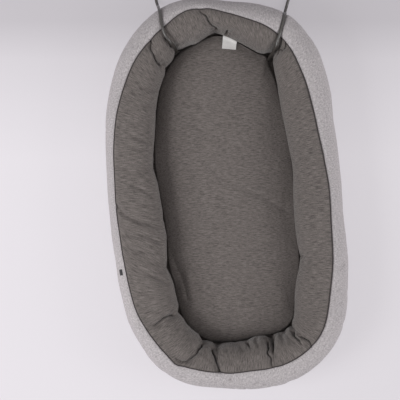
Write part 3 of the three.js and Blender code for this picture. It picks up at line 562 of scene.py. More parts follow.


# %% [markdown]
# The grid on the skin has columns round the ring and rows round the section. The columns stand
# closer together at the folds, where the cloth turns sharply. One row runs exactly along the piped
# seam, so that the two covers can be cut apart there later. First come the folds themselves, read
# off the photograph: a half width in millimetres, then points of a line on the skin, each with its
# station, its place across the roll and its depth in millimetres. A depth below zero is a raised
# edge.

# %% Folds in the roll cover
FOLDS = [
    # Where the two ends of the tube meet
    (15, [(0.9733, 0.321, 5), (0.976, 0.409, 8), (0.9775, 0.526, 11), (0.9753, 0.78, 14),
        (0.9745, 0.959, 19)]),
    # Its light fold edge
    (2.6, [(0.9758, 0.341, -1.5), (0.9778, 0.405, -2.5), (0.979, 0.487, -1)]),
    # Crease at the upper left
    (16, [(0.909, 0.385, 8), (0.905, 0.475, 9), (0.9022, 0.604, 10), (0.9018, 0.735, 11),
        (0.9022, 0.86, 13), (0.9055, 0.95, 17)]),
    # Its light fold edge
    (2.4, [(0.9042, 0.769, -1), (0.9045, 0.854, -2.6), (0.9058, 0.939, -1.5)]),
    # Crease under the left cord
    (17, [(0.9278, 0.413, 4), (0.9245, 0.604, 8), (0.9248, 0.776, 11), (0.927, 0.922, 14)]),
    # Tacked pit over the label
    (6, [(0.9876, 0.9, 9), (0.9862, 0.955, 20), (0.9855, 0.995, 20)]),
    # Pucker right of the pit
    (6, [(0.9905, 0.937, 5), (0.9965, 0.804, 5), (0.0027, 0.65, 1)]),
    # Pucker left of the pit
    (7, [(0.9848, 0.919, 2.5), (0.9843, 0.844, 2), (0.985, 0.727, 0)]),
    # Crease under the right cord
    (18, [(0.0563, 0.375, 5), (0.0598, 0.496, 8), (0.0605, 0.638, 12), (0.0605, 0.776, 17),
        (0.0612, 0.86, 20), (0.063, 0.95, 20)]),
    # Short crease beside it
    (8, [(0.068, 0.52, 6), (0.0696, 0.62, 9), (0.0688, 0.71, 12), (0.0645, 0.783, 12)]),
    # Pucker between them
    (4, [(0.06, 0.561, 1.5), (0.0648, 0.608, 3), (0.0663, 0.699, 4)]),
    # Curved crease at the lower left
    (13, [(0.6, 0.435, 3), (0.597, 0.513, 8), (0.5975, 0.591, 9), (0.599, 0.667, 9),
        (0.5983, 0.801, 11), (0.597, 0.922, 15)]),
    # Crease from the lower left seam
    (12, [(0.559, 0.42, 3), (0.551, 0.445, 9), (0.543, 0.47, 6)]),
    (15, [(0.553, 0.422, 7), (0.5475, 0.43, 10), (0.544, 0.474, 11), (0.5405, 0.578, 11),
        (0.5403, 0.715, 11), (0.541, 0.894, 11), (0.54, 0.971, 13)]),
    # Deep crease at the foot
    (15, [(0.5082, 0.413, 9), (0.5095, 0.513, 12), (0.512, 0.625, 14), (0.5148, 0.783, 16),
        (0.5142, 0.924, 18)]),
    # Small fold at its end
    (6, [(0.5398, 0.924, 2.5), (0.5325, 0.912, 3.5), (0.5235, 0.929, 2)]),
    # Short crease at the foot
    (8, [(0.475, 0.79, 0), (0.4775, 0.886, 4), (0.4803, 0.982, 8)]),
    # Long crease at the foot
    (13, [(0.4497, 0.478, 5), (0.4527, 0.57, 8), (0.455, 0.671, 10), (0.4557, 0.776, 13),
        (0.4552, 0.957, 18)]),
    # Its neighbour
    (9, [(0.4492, 0.691, 2), (0.4492, 0.841, 9), (0.444, 0.992, 15)]),
    # Crease at the lower right
    (11, [(0.41, 0.587, 2), (0.4098, 0.659, 7), (0.4095, 0.746, 10), (0.4057, 0.933, 14)]),
    # Branch towards the seam
    (8, [(0.4057, 0.396, 3), (0.4035, 0.491, 6), (0.4032, 0.561, 7), (0.404, 0.65, 6),
        (0.4062, 0.735, 7)]),
    # Its light fold edge
    (2.4, [(0.405, 0.838, -2), (0.4075, 0.719, -3), (0.4093, 0.608, -1)]),
    # Kink on the right
    (9, [(0.3075, 0.899, 0), (0.3063, 0.967, 3), (0.3053, 0.997, 6)]),
    # Wrinkle below the kink
    (8, [(0.3128, 0.96, 2), (0.3145, 0.841, 2), (0.3153, 0.699, 0)]),
    # Wrinkle high on the right
    (10, [(0.1938, 0.986, 2), (0.1953, 0.761, 1.4), (0.2003, 0.504, 0)]),
    # Wrinkle at the seam on the left
    (9, [(0.7248, 0.21, 4.6), (0.7188, 0.329, 5.4), (0.7157, 0.43, 5.4), (0.7138, 0.54, 5.4),
        (0.7118, 0.723, 5), (0.7115, 0.88, 3.5)]),
    # Wrinkle below it
    (8, [(0.7003, 0.57, 2), (0.6987, 0.719, 5), (0.6977, 0.9, 4.5)]),
    # Shallow wrinkles all round
    (8, [(0.6725, 0.313, 1), (0.6783, 0.5, 3.6), (0.6835, 0.6, 3), (0.69, 0.703, 1)]),
    (7, [(0.6905, 0.3, 1.5), (0.6937, 0.43, 3.5), (0.6985, 0.517, 1)]),
    (8, [(0.6605, 0.51, 1.5), (0.6585, 0.646, 5), (0.656, 0.78, 4.5), (0.6532, 0.912, 3)]),
    (8, [(0.8045, 0.5, 1.5), (0.803, 0.7, 4.2), (0.7988, 0.939, 3)]),
    (8, [(0.7948, 0.487, 0), (0.7923, 0.617, 3), (0.7918, 0.776, 2.6), (0.793, 0.946, 1)]),
    (8, [(0.841, 0.6, 1.5), (0.847, 0.801, 4), (0.8503, 0.97, 3)]),
    (8, [(0.8635, 0.574, 1.5), (0.8645, 0.74, 4.5), (0.8705, 0.967, 4)]),
    (7, [(0.852, 0.574, 1), (0.858, 0.723, 3), (0.8678, 0.88, 2)]),
    (8, [(0.7722, 0.254, 1), (0.7695, 0.426, 2.2), (0.7635, 0.517, 0)]),
    (8, [(0.7505, 0.47, 1), (0.7475, 0.646, 4.5), (0.7432, 0.841, 3)]),
    (9, [(0.7338, 0.483, 0), (0.7318, 0.604, 1.6), (0.731, 0.776, 2.4), (0.7328, 0.944, 1.6)]),
    (9, [(0.6242, 0.293, 0), (0.6158, 0.469, 3.4), (0.6112, 0.552, 3.4), (0.613, 0.707, 0.6)]),
    (8, [(0.613, 0.337, 1), (0.6078, 0.435, 2.6), (0.6038, 0.535, 0.5)]),
    (9, [(0.6382, 0.413, 0), (0.6348, 0.513, 2.2), (0.633, 0.65, 0)]),
    (9, [(0.8215, 0.392, 0), (0.821, 0.57, 1.8), (0.827, 0.797, 0)]),
    (9, [(0.5873, 0.313, 0), (0.585, 0.461, 1.8), (0.5863, 0.612, 0)]),
    (9, [(0.5012, 0.5, 0), (0.4983, 0.695, 2.2), (0.499, 0.891, 3)]),
    (7, [(0.506, 0.818, 3.5), (0.502, 0.735, 2.5), (0.5002, 0.608, 0)]),
    (8, [(0.4893, 0.982, 3.4), (0.485, 0.821, 2.4), (0.4805, 0.617, 0)]),
    (7, [(0.4698, 0.993, 3), (0.4675, 0.86, 2.4), (0.4625, 0.711, 0)]),
    (8, [(0.4208, 0.992, 3), (0.427, 0.844, 2.2), (0.4303, 0.659, 0)]),
    (7, [(0.5315, 0.808, 2), (0.5242, 0.671, 2.6), (0.5165, 0.544, 0)]),
]  # fmt: skip

# %% The grid on the skin
NOTCH_PLACE = 0.9755
COLUMNS = 1500
OUTER_ROWS = 36
INNER_ROWS = 72
UNDER_ROWS = 12
FOLD_DENSITY = 0.7
MOST_DENSITY = 4.5
MOST_COUNTED_DEPTH = 8
FOLD_REACH = 5 * MM
FINE_PLACES = 20000


def column_places():
    """Places of the columns, denser at each fold."""
    fine = NOTCH_PLACE + np.linspace(0, 1, FINE_PLACES, endpoint=False)
    density = np.zeros(len(fine))
    for _, line in FOLDS:
        for station, _, depth in line:
            away = metres_round(station, fine) / FOLD_REACH
            weight = FOLD_DENSITY * min(abs(depth), MOST_COUNTED_DEPTH) / 3
            density += weight * np.exp(-(away**2))
    total = running(1 + np.minimum(density, MOST_DENSITY))
    wanted = np.linspace(0, total[-1], COLUMNS, endpoint=False)
    return NOTCH_PLACE + np.interp(wanted, total, np.linspace(0, 1, len(total)))


def row_angles(station, outer_rows, inner_rows, under_rows):
    """Angles of the rows at each column: outer cover, roll cover and the strip between them."""
    rim = rim_angle(station)[:, None]
    start, end = -BASE_SEAM_ANGLE, np.pi + BASE_SEAM_ANGLE
    outer = start + (rim - start) * np.linspace(0, 1, outer_rows, endpoint=False)
    inner = rim + (end - rim) * np.linspace(0, 1, inner_rows, endpoint=False)
    under = end + (2 * np.pi + start - end) * np.linspace(0, 1, under_rows, endpoint=False)
    return np.hstack([outer, inner, np.broadcast_to(under, (len(station), under_rows))])


columns = column_places()
angles = row_angles(columns, OUTER_ROWS, INNER_ROWS, UNDER_ROWS)
skin = skin_point(columns[:, None], angles)
print("skin grid", skin.shape[:2])

# %% [markdown]
# The cloth run comes before the folds. A coarse net of the roll cover, held at both its edges, has
# some slack where the photograph shows loose cloth. The stuffing presses it out for a few frames,
# so it bulges and buckles by itself. How far each of its points moved is then laid on the fine
# skin.

# %% Let the cover settle
SIM_COLUMNS = 560
SIM_ROWS = 36
SIM_FRAMES = 20
SIM_PRESSURE = 1.5
SIM_SLACK = 0.07
MOST_MOVED = 5 * MM
SLACK_SHARES = [
    (0.0, 0.5), (0.06, 0.7), (0.12, 0.2), (0.25, 0.15), (0.33, 0.3), (0.4, 0.8),
    (0.45, 1.0), (0.55, 1.0), (0.62, 0.8), (0.7, 0.7), (0.8, 0.55), (0.88, 0.5),
    (0.93, 0.8), (0.97, 0.7),
]  # fmt: skip


def run_cloth(points, slack):
    """Runs the net of the cover as cloth and gives how far each of its points moved."""
    net = link_object("settling_net", grid_mesh("settling_net", points, closed_columns=True))
    held, loose = (net.vertex_groups.new(name=name) for name in ("held", "loose"))
    rows = np.arange(points.shape[0] * points.shape[1]) % points.shape[1]
    edges = np.flatnonzero((rows == 0) | (rows == points.shape[1] - 1))
    held.add(edges.tolist(), 1.0, "REPLACE")
    for i, let_out in enumerate(slack.ravel()):
        loose.add([i], float(let_out), "REPLACE")
    cloth = net.modifiers.new("settling", "CLOTH")
    cloth.point_cache.frame_end = SIM_FRAMES
    settings = cloth.settings
    settings.quality = 6
    settings.mass = 0.2
    settings.tension_stiffness = settings.compression_stiffness = 20
    settings.shear_stiffness = 8
    settings.bending_stiffness = 0.2
    settings.use_pressure = True
    settings.uniform_pressure_force = SIM_PRESSURE
    settings.vertex_group_mass = "held"
    settings.vertex_group_shrink = "loose"
    settings.shrink_min, settings.shrink_max = 0, -SIM_SLACK
    settings.effector_weights.gravity = 0
    for number in range(1, SIM_FRAMES + 1):
        bpy.context.scene.frame_set(number)
    shown = net.evaluated_get(bpy.context.evaluated_depsgraph_get())
    settled = np.zeros(points.size)
    shown.data.vertices.foreach_get("co", settled)
    bpy.context.scene.frame_set(1)
    bpy.data.objects.remove(net)
    return settled.reshape(points.shape) - points


def settle(skin):
    """Lays the coarse net's movement on the part of the fine skin that the roll cover takes up."""
    stations = NOTCH_PLACE + np.linspace(0, 1, SIM_COLUMNS, endpoint=False)
    rim, end = rim_angle(stations)[:, None], np.pi + BASE_SEAM_ANGLE
    net = skin_point(stations[:, None], rim + (end - rim) * np.linspace(0, 1, SIM_ROWS))
    slack = np.broadcast_to(around(SLACK_SHARES, stations)[:, None], net.shape[:2])
    moved = run_cloth(net, slack)
    length = np.linalg.norm(moved, axis=-1, keepdims=True)
    moved *= MOST_MOVED * np.tanh(length / MOST_MOVED) / np.maximum(length, 1e-9)
    print("the net moved by up to", round(float(length.max() / MM), 1), "mm")
    moved = np.concatenate([moved, moved[:1]])
    own_rim = rim_angle(columns)[:, None]
    row = np.clip((angles - own_rim) / (end - own_rim), 0, 1) * (SIM_ROWS - 1)
    column = np.broadcast_to((columns[:, None] - NOTCH_PLACE) * SIM_COLUMNS, row.shape)
    i, j = column.astype(int), np.minimum(row.astype(int), SIM_ROWS - 2)
    s, t = (column - i)[..., None], (row - j)[..., None]
    near = moved[i, j] * (1 - t) + moved[i, j + 1] * t
    far = moved[i + 1, j] * (1 - t) + moved[i + 1, j + 1] * t
    cover = (angles >= own_rim) & (angles <= end)
    return skin + (near * (1 - s) + far * s) * cover[..., None]


skin = settle(skin)

# %% [markdown]
# A fold is a line on the skin that pulls the cloth in towards the middle of the roll. The walls of
# a deep one bulge like the cheeks of a pillow and meet in a narrow slit, and a shallow wrinkle is
# a soft trough. Distances to the line are measured along the skin, which keeps the slit sharp. A
# little smooth noise bends every line, so that none looks drawn with a ruler. The stuffing makes
# the roll lumpy, slack cloth has fine wrinkles that run across the roll, and each cord presses a
# groove.

# %% Pull the folds in
NOISE_WAVES = 14
SHARP_DEPTH = 5.5
CHEEK_POWER = 0.75
CHEEK_SHARE = 0.62
SLIT_SHARE = 0.6
SLIT_WIDTH = 1.8 * MM
SOFT_POWER = 1.3
FOLD_POWER = 1.3
FOLD_ROOM = 3 * MM
FOLD_STEP = 20
FOLD_FADE = 0.12
CORD_ROOM = 0.5 * MM
GROOVE_WIDTH = 1.2
MOST_PRESSED = 26 * MM
MOST_PULLED = 0.6
LINE_WANDER = 1.5 * MM
WANDER_SIZE = 14 * MM
DIMPLE_DEPTH = 2.2 * MM
DIMPLE_SIZE = 13 * MM
DIMPLE_POWER = 1.5
DIMPLE_FADE = 0.15
LUMP_HEIGHT = 0.9 * MM
LUMP_SIZE = 60 * MM
RIPPLE_HEIGHT = 0.5 * MM
RIPPLE_SIZE = 9 * MM
RIPPLE_STRETCH = 0.3
RIPPLE_FADE = 0.5
DIMPLE_SHARES = [
    (0.0, 0.2), (0.1, 0.35), (0.25, 0.15), (0.35, 0.7), (0.5, 1), (0.62, 0.7), (0.75, 0.1),
    (0.9, 0.3),
]  # fmt: skip
WANDER_SEEDS = (3, 4, 6)
LUMP_SEED = 5
RIPPLE_SEED = 11
DIMPLE_SEED = 13


def soft_noise(points, size, seed):
    """Smooth noise of about -1 to 1 whose swellings are about the given size."""
    rng = np.random.default_rng(seed)
    total = np.zeros(points.shape[:-1])
    for _ in range(NOISE_WAVES):
        wave = rng.normal(size=points.shape[-1])
        wave *= rng.uniform(0.6, 1.5) * np.pi / size / np.linalg.norm(wave)
        total += np.sin(points @ wave + rng.uniform(0, 2 * np.pi))
    return total / np.sqrt(NOISE_WAVES)


def across_angle(inwards):
    return np.arccos(1 - 2 * inwards)


def along_skin(offset, inward):
    """Length of each offset without its part straight into the skin."""
    return np.linalg.norm(offset - np.sum(offset * inward, -1, keepdims=True) * inward, axis=-1)


def fold_pull(points, inward, half_width, line):
    """How far one fold pulls each point in."""
    line = np.array(line)
    places = skin_point(line[:, 0], across_angle(line[:, 1]))
    curve = open_curve(np.column_stack([places, line[:, 2] * MM]))[::FOLD_STEP]
    places, depths = curve[:, :3], curve[:, 3]
    room = half_width + FOLD_ROOM
    near = ((points > places.min(0) - room) & (points < places.max(0) + room)).all(1)
    spots, into = points[near], inward[near]
    closest = np.full(len(spots), np.inf)
    deep = np.zeros(len(spots))
    for start, end, from_depth, to_depth in zip(places, places[1:], depths, depths[1:]):
        along = end - start
        t = np.clip((spots - start) @ along / (along @ along), 0, 1)
        away = along_skin(spots - start - t[:, None] * along, into)
        deep = np.where(away < closest, from_depth + t * (to_depth - from_depth), deep)
        closest = np.minimum(away, closest)
    share = np.clip(closest / half_width, 0, 1)
    if abs(depths).max() > SHARP_DEPTH * MM:
        slit = np.exp(-((closest / SLIT_WIDTH) ** 2))
        shape = CHEEK_SHARE * (1 - share**CHEEK_POWER) ** FOLD_POWER + SLIT_SHARE * slit
    else:
        shape = (1 - share**SOFT_POWER) ** FOLD_POWER
    pull = np.zeros(len(points))
    pull[near] = deep * shape
    return pull


def cord_pull(points, inward, path):
    """How far a cord presses each point in. The groove just clears the cord."""
    clear = CORD_DIAMETER / 2 + CORD_ROOM
    width = GROOVE_WIDTH * clear
    near = ((points > path.min(0) - 2 * width) & (points < path.max(0) + 2 * width)).all(1)
    spots, into = points[near], inward[near]
    pressed = np.zeros(len(spots))
    for place in path[::2]:
        offset = spots - place
        depth = clear - np.sum(offset * into, 1)
        fall = np.exp(-((along_skin(offset, into) / width) ** 2))
        depth = np.where(depth < MOST_PRESSED, np.maximum(depth, 0), 0)
        pressed = np.maximum(pressed, depth * fall)
    pull = np.zeros(len(points))
    pull[near] = pressed
    return pull


def ring_coordinates(share, across):
    """Coordinates for a pattern that closes round the ring."""
    turn = 2 * np.pi * share
    reach = RING_LENGTH / (2 * np.pi)
    return np.stack([reach * np.cos(turn), reach * np.sin(turn), across], -1)


def core_points():
    """The roll's middle line beside each point of the skin."""
    middle = path_point(roll_share(columns[:, None], angles), np.zeros(angles.shape))
    return raised(middle, ROLL_CENTRE_Z)


def into_roll(skin):
    """Unit vector from each point of the skin to the roll's middle line, and its distance."""
    inward = core_points() - skin
    reach = np.linalg.norm(inward, axis=-1, keepdims=True)
    return inward / reach, reach[..., 0]


def fold_hollows(points, into):
    """How far all the folds together pull each point in, on lines that wander a little."""
    wander = [soft_noise(points, WANDER_SIZE, seed) for seed in WANDER_SEEDS]
    bent = points + LINE_WANDER * np.stack(wander, -1)
    hollow, raised_edge = np.zeros(len(points)), np.zeros(len(points))
    for half_width, line in FOLDS:
        pull = fold_pull(bent, into, half_width * MM, line)
        hollow = np.hypot(hollow, np.maximum(pull, 0))
        raised_edge += np.minimum(pull, 0)
    return (hollow + raised_edge).reshape(angles.shape)


def small_relief(skin):
    """Ripples, lumps and dimples, then the share of the folds that each point shows."""
    from_rim = angles - rim_angle(columns)[:, None]
    steps = np.linalg.norm(np.diff(skin, axis=1), axis=-1)
    across = np.concatenate([np.zeros((len(columns), 1)), np.cumsum(steps, 1)], 1)
    place = ring_coordinates(roll_share(columns[:, None], angles), across * RIPPLE_STRETCH)
    slack = around(SLACK_SHARES, columns)[:, None] * smoothstep(from_rim / RIPPLE_FADE)
    ripple = RIPPLE_HEIGHT * (1 + soft_noise(place, RIPPLE_SIZE, RIPPLE_SEED)) * slack
    lumps = LUMP_HEIGHT * (1 + soft_noise(skin, LUMP_SIZE, LUMP_SEED))
    place = ring_coordinates(columns[:, None] * np.ones(angles.shape), across)
    dimples = np.maximum(soft_noise(place, DIMPLE_SIZE, DIMPLE_SEED), 0) ** DIMPLE_POWER
    dimples = DIMPLE_DEPTH * dimples * around(DIMPLE_SHARES, columns)[:, None]
    dimples *= smoothstep(-from_rim / DIMPLE_FADE)
    return ripple + lumps + dimples, np.clip(1 + from_rim / FOLD_FADE, 0, 1)


def fold_skin(skin):
    """The skin with its folds, its small relief and the grooves of the cords."""
    inward, reach = into_roll(skin)
    into = inward.reshape(-1, 3)
    pull = fold_hollows(skin.reshape(-1, 3), into)
    relief, cover_fade = small_relief(skin)
    grip = base_grip(angles)
    most = MOST_PULLED * reach
    pull = np.where(pull > 0, most * np.tanh(pull / most), pull)
    pull = pull * cover_fade * grip + relief * grip
    skin = skin + inward * pull[..., None]
    points = skin.reshape(-1, 3)
    pressed = np.max([cord_pull(points, into, path) for path in cord_paths.values()], 0)
    pressed = np.minimum(pressed.reshape(angles.shape), most)
    return skin + inward * pressed[..., None]


skin = fold_skin(skin)
print("folds", len(FOLDS))

# %% [markdown]
# A cover is a strip cut from that skin, with a knit of real thickness. Its UV map is measured
# along the cloth in metres, once round the ring and once over the roll, so the courses of the knit
# run across the roll as they do in the photograph. Both covers dip towards the seam that joins
# them.

# %% Covers
COVER_THICKNESS = 1.8 * MM
SEAM_VALLEY = 1.8 * MM
SEAM_REACH = 5 * MM


def seam_valley(points, seam_row):
    """Draws the cloth in towards the seam, on both sides of it."""
    seam = points[:, seam_row : seam_row + 1]
    away = np.linalg.norm(points - seam, axis=-1)
    depth = SEAM_VALLEY * np.exp(-((away / SEAM_REACH) ** 2))
    return points + into_roll(points)[0] * depth[..., None]


def cover_strip(name, first, last):
    strip = skin[:, first : last + 1]
    runs = np.linalg.norm(np.diff(strip, axis=1), axis=-1).mean(0)
    along = (np.append(columns, NOTCH_PLACE + 1) - NOTCH_PLACE) * RING_LENGTH
    mesh = grid_mesh(name, strip, closed_columns=True, uv=uv_grid(along, running(runs)))
    return solidify(link_object(name, mesh), COVER_THICKNESS)


skin = seam_valley(skin, OUTER_ROWS)
outer_cover = cover_strip("outer_cover_knit", 0, OUTER_ROWS)
roll_cover = cover_strip("roll_cover_jersey", OUTER_ROWS, OUTER_ROWS + INNER_ROWS)
dress(outer_cover, "nest", "marl_knit", "outer_cover")
dress(roll_cover, "nest", "melange_jersey", "roll_cover")
print("covers", len(outer_cover.data.vertices), len(roll_cover.data.vertices), "points")

# %% [markdown]
# The filling is a tube of fibre inside the covers. It is never seen, but a part for reuse has it,
# so it follows the same skin a few millimetres further in.

# %% Filling
FILLING_INSET = 4 * MM
FILLING_WINDOWS = (10, 4)
FILLING_STEPS = (3, 2)
LEAST_FILLING = 1 * MM


def make_filling():
    """The deepest of the skin's neighbouring points sets each point of the filling."""
    inward, reach = into_roll(skin)
    for axis, window in enumerate(FILLING_WINDOWS):
        near = [np.roll(reach, step, axis) for step in range(-window, window + 1)]
        reach = np.minimum.reduce(near)
    reach = np.maximum(reach - FILLING_INSET, LEAST_FILLING)
    points = core_points() - inward * reach[..., None]
    points = points[:: FILLING_STEPS[0], :: FILLING_STEPS[1]]
    mesh = grid_mesh("roll_filling_fibre", points, closed_columns=True, closed_rows=True)
    return merge_poles(link_object("roll_filling_fibre", mesh))


filling = dress(make_filling(), "nest", "fibre_filling", "bolster_filling")

# %% [markdown]
# The seam between the covers is piped with a thin round welt. It follows a path, so Geometry Nodes
# sweep it: a circle runs along the line of the seam row. The helper below sets the modifier's
# inputs by their identifiers, keeps the resulting mesh and drops the modifier.


# %% Geometry Nodes helpers
FLOAT, VECTOR, COLOR = "NodeSocketFloat", "NodeSocketVector", "NodeSocketColor"
INTEGER, FINISH, GEOMETRY = "NodeSocketInt", "NodeSocketMaterial", "NodeSocketGeometry"


def new_tree(kind, name, inputs, outputs):
    """Empty node group with named sockets, then what it is given and what it has to feed."""
    tree = bpy.data.node_groups.new(name, kind)
    for label, socket_type, default in inputs:
        socket = tree.interface.new_socket(label, in_out="INPUT", socket_type=socket_type)
        if default is not None:
            socket.default_value = default
    for label, socket_type in outputs:
        tree.interface.new_socket(label, in_out="OUTPUT", socket_type=socket_type)
    return tree, tree.nodes.new("NodeGroupInput").outputs, tree.nodes.new("NodeGroupOutput").inputs


def shape_tree(name, inputs):
    """Empty Geometry Nodes tree that also takes a finish."""
    inputs = [("Geometry", GEOMETRY, None), *inputs, ("Finish", FINISH, None)]
    return new_tree("GeometryNodeTree", name, inputs, [("Geometry", GEOMETRY)])


def add_node(tree, kind, **settings):
    node = tree.nodes.new(kind)
    for key, value in settings.items():
        setattr(node, key, value)
    return node


def feed(tree, target, value):
    """Links a socket to an input, or gives the input a plain value."""
    if isinstance(value, bpy.types.NodeSocket):
        tree.links.new(value, target)
    else:
        target.default_value = value


def put(tree, kind, inputs, **settings):
    """Adds a node, feeds its inputs by name or number, and gives its first output."""
    node = add_node(tree, kind, **settings)
    for key, value in inputs.items():
        feed(tree, node.inputs[key], value)
    return node.outputs[0]


def sums(tree, operation, *values):
    return put(tree, "ShaderNodeMath", dict(enumerate(values)), operation=operation)


def realized(tree, geometry):
    return put(tree, "GeometryNodeRealizeInstances", {"Geometry": geometry})


def finish_tree(tree, given, result, geometry):
    """Gives the tree's shape its finish and hands it out."""
    finish = {"Geometry": geometry, "Material": given["Finish"]}
    tree.links.new(put(tree, "GeometryNodeSetMaterial", finish), result["Geometry"])
    return tree


def line_object(name, points, closed):
    """Mesh of edges along a path, the source that a tree sweeps or stitches."""
    mesh = bpy.data.meshes.new(name)
    count = len(points)
    edges = [(i, (i + 1) % count) for i in range(count if closed else count - 1)]
    mesh.from_pydata([tuple(point) for point in points], edges, [])
    return link_object(name, mesh)


def grown(name, source, tree, **values):
    """Plain mesh that a tree grows from a source object."""
    modifier = source.modifiers.new(name, "NODES")
    modifier.node_group = tree
    for item in tree.interface.items_tree:
        if item.in_out == "INPUT" and item.name in values:
            modifier[item.identifier] = values[item.name]
    shown = source.evaluated_get(bpy.context.evaluated_depsgraph_get())
    mesh = bpy.data.meshes.new_from_object(shown)
    source.modifiers.remove(modifier)
    bpy.data.objects.remove(source)
    mesh.name = name
    return link_object(name, mesh)


# %% Piping
PIPING_RADIUS = 1.1 * MM
PIPING_SIDES = 10
PIPING_RISE = 0.5 * MM


def sweep_tree():
    tree, given, result = shape_tree(
        "sweep_round_cord", [("Radius", FLOAT, 1 * MM), ("Sides", INTEGER, 8)]
    )
    curve = put(tree, "GeometryNodeMeshToCurve", {"Mesh": given["Geometry"]})
    circle = {"Resolution": given["Sides"], "Radius": given["Radius"]}
    ring = put(tree, "GeometryNodeCurvePrimitiveCircle", circle)
    sweep = put(tree, "GeometryNodeCurveToMesh", {"Curve": curve, "Profile Curve": ring})
    return finish_tree(tree, given, result, realized(tree, sweep))


def smooth(piece):
    piece.data.polygons.foreach_set("use_smooth", [True] * len(piece.data.polygons))
    piece.data.update()
    return piece


SWEEP = sweep_tree()
seam_line = skin[:, OUTER_ROWS].copy()
seam_line[:, 2] += PIPING_RISE
piping = grown(
    "piped_seam", line_object("seam_line", seam_line, True), SWEEP,
    Radius=PIPING_RADIUS, Sides=PIPING_SIDES,
)  # fmt: skip
dress(smooth(merge_poles(piping)), "nest", "piping", "rim_piping")
print("piping", len(piping.data.vertices), "points")

# %% [markdown]
# The mattress is a foam pad in a knitted cover with a low crown. It fills the ring, so its outline
# follows the inner side of the roll and tucks under the roll's widest line, where the roll leaves
# room. Loops of that outline climb the wall, run up a sloping edge and shrink towards the middle.
# How wide the slope is and how far it falls changes on the way round, and slopes that meet at a
# corner are blended. Soft folds cross the top.

# %% Mattress
WADDING_THICKNESS = 7 * MM
LINING_THICKNESS = 1.2 * MM
MATTRESS_THICKNESS = 26 * MM
MATTRESS_CROWN = 4 * MM
MATTRESS_CLEARANCE = 1.5 * MM
MATTRESS_EDGE_INSET = 5 * MM
TICKING_THICKNESS = 1.2 * MM
LINING_Z = BASE_THICKNESS + GAP + WADDING_THICKNESS + GAP
MATTRESS_Z = LINING_Z + LINING_THICKNESS + GAP
MATTRESS_TOP = MATTRESS_Z + MATTRESS_THICKNESS
MATTRESS_BASE_TOP = MATTRESS_Z + TICKING_THICKNESS
MATTRESS_WALL = [(3, 0), (0.8, 0.25), (0, 0.55), (0.5, 0.86), (2.4, 1)]
MATTRESS_CROWN_SHARES = [(1, 0), (0.8, 0.6), (0.4, 1), (0, 1)]
# Place, then the share of the roll's widest reach where the mattress's edge stands
MATTRESS_REACHES = [
    (0.0, 0.945), (0.038, 0.96), (0.05, 1.06), (0.058, 1.2), (0.0635, 1.28), (0.07, 1.17),
    (0.082, 1.02), (0.1, 0.95), (0.15, 0.935), (0.35, 0.935), (0.5, 0.94), (0.56, 0.95),
    (0.6, 0.98), (0.65, 1.0), (0.85, 1.0), (0.895, 1.0), (0.93, 0.96), (0.97, 0.945),
]  # fmt: skip
# Place, then width and fall of the sloping edge in millimetres
SLOPE_WIDTHS = [
    (0.0, 24), (0.03, 32), (0.07, 42), (0.12, 66), (0.17, 84), (0.3, 84), (0.37, 64),
    (0.42, 48), (0.55, 42), (0.62, 46), (0.85, 48), (0.9, 44), (0.95, 34), (0.98, 26),
]  # fmt: skip
SLOPE_FALLS = [
    (0.0, 3), (0.03, 6), (0.08, 9), (0.15, 11), (0.3, 11), (0.39, 11), (0.42, 12), (0.55, 13),
    (0.62, 13), (0.85, 13), (0.9, 12), (0.95, 10), (0.98, 5),
]  # fmt: skip
SLOPE_BLENDS = (14, 9, 5, 2)
LOOP_BLENDS = 24
WALL_UNIT = 12 * MM
ROW_POWER = 1.4
PAD_COLUMNS = 480
WALL_ROWS = 16
TOP_ROWS = 76

pad_places = np.linspace(0, 1, PAD_COLUMNS, endpoint=False)


def inner_loop(reach_share, clearance, z):
    """Loop inside the ring, clear of the roll where it reaches in by a share of its widest."""
    share = pad_places + around(LEAN_TABLE, pad_places) / 2
    reach = ROLL_HALF * around(INNER_FULLNESS_SHARES, share) * reach_share
    return raised(path_point(share, -reach - clearance), z)


def neighbour_mean(values, step):
    """Each value of a loop, averaged with the values some steps before and after it."""
    return (np.roll(values, step, 0) + 2 * values + np.roll(values, -step, 0)) / 4


def reach_share_at(z):
    rise = abs(z - ROLL_CENTRE_Z) / ROLL_HALF_HEIGHT
    return (1 - rise**SECTION_POWER) ** (1 / SECTION_POWER)


def mattress_points(inset, bottom, top):
    """Loops of the mattress from the foot of its wall to the middle of its crown."""
    width = around(SLOPE_WIDTHS, pad_places) * MM
    fall = around(SLOPE_FALLS, pad_places) * MM
    profile = evenly(open_curve(np.array(MATTRESS_WALL) * (MM, WALL_UNIT)), WALL_ROWS)
    loops = []
    for away, rise in profile:
        loop = inner_loop(around(MATTRESS_REACHES, pad_places), inset + away, bottom)
        for _ in range(LOOP_BLENDS):
            loop = neighbour_mean(loop, 1)
        loop[:, 2] += (top - fall - bottom) * rise / WALL_UNIT
        loops.append(loop)
    edge = loops[-1]
    outward = path_point(pad_places, MM) - path_point(pad_places, 0)
    radius = np.abs(np.sum(edge[:, :2] * outward, 1)) / MM
    spreads, rises = np.array(MATTRESS_CROWN_SHARES[::-1]).T
    for share in np.linspace(0, 1, TOP_ROWS + 1)[1:]:
        spread = 1 - share**ROW_POWER
        loop = edge * (spread, spread, 1)
        loop[:, 2] = top + MATTRESS_CROWN * np.interp(spread, spreads, rises)
        drop = fall * np.clip(1 - radius * (1 - spread) / width, 0, 1) ** 2
        for shift in SLOPE_BLENDS:
            drop = neighbour_mean(drop, shift)
        loop[:, 2] -= drop
        loops.append(loop)
    return np.stack(loops, 1)


def closed_disc(name, points):
    """Solid of loops, closed over its lower end. Its last loop is already a point."""
    low = points[:, 0]
    middle = low.mean(0)
    inner = [middle + (low - middle) * share for share in (0, 0.3, 0.6, 0.85)]
    points = np.concatenate([np.stack(inner, 1), points], 1)
    return merge_poles(link_object(name, grid_mesh(name, points, closed_columns=True)))


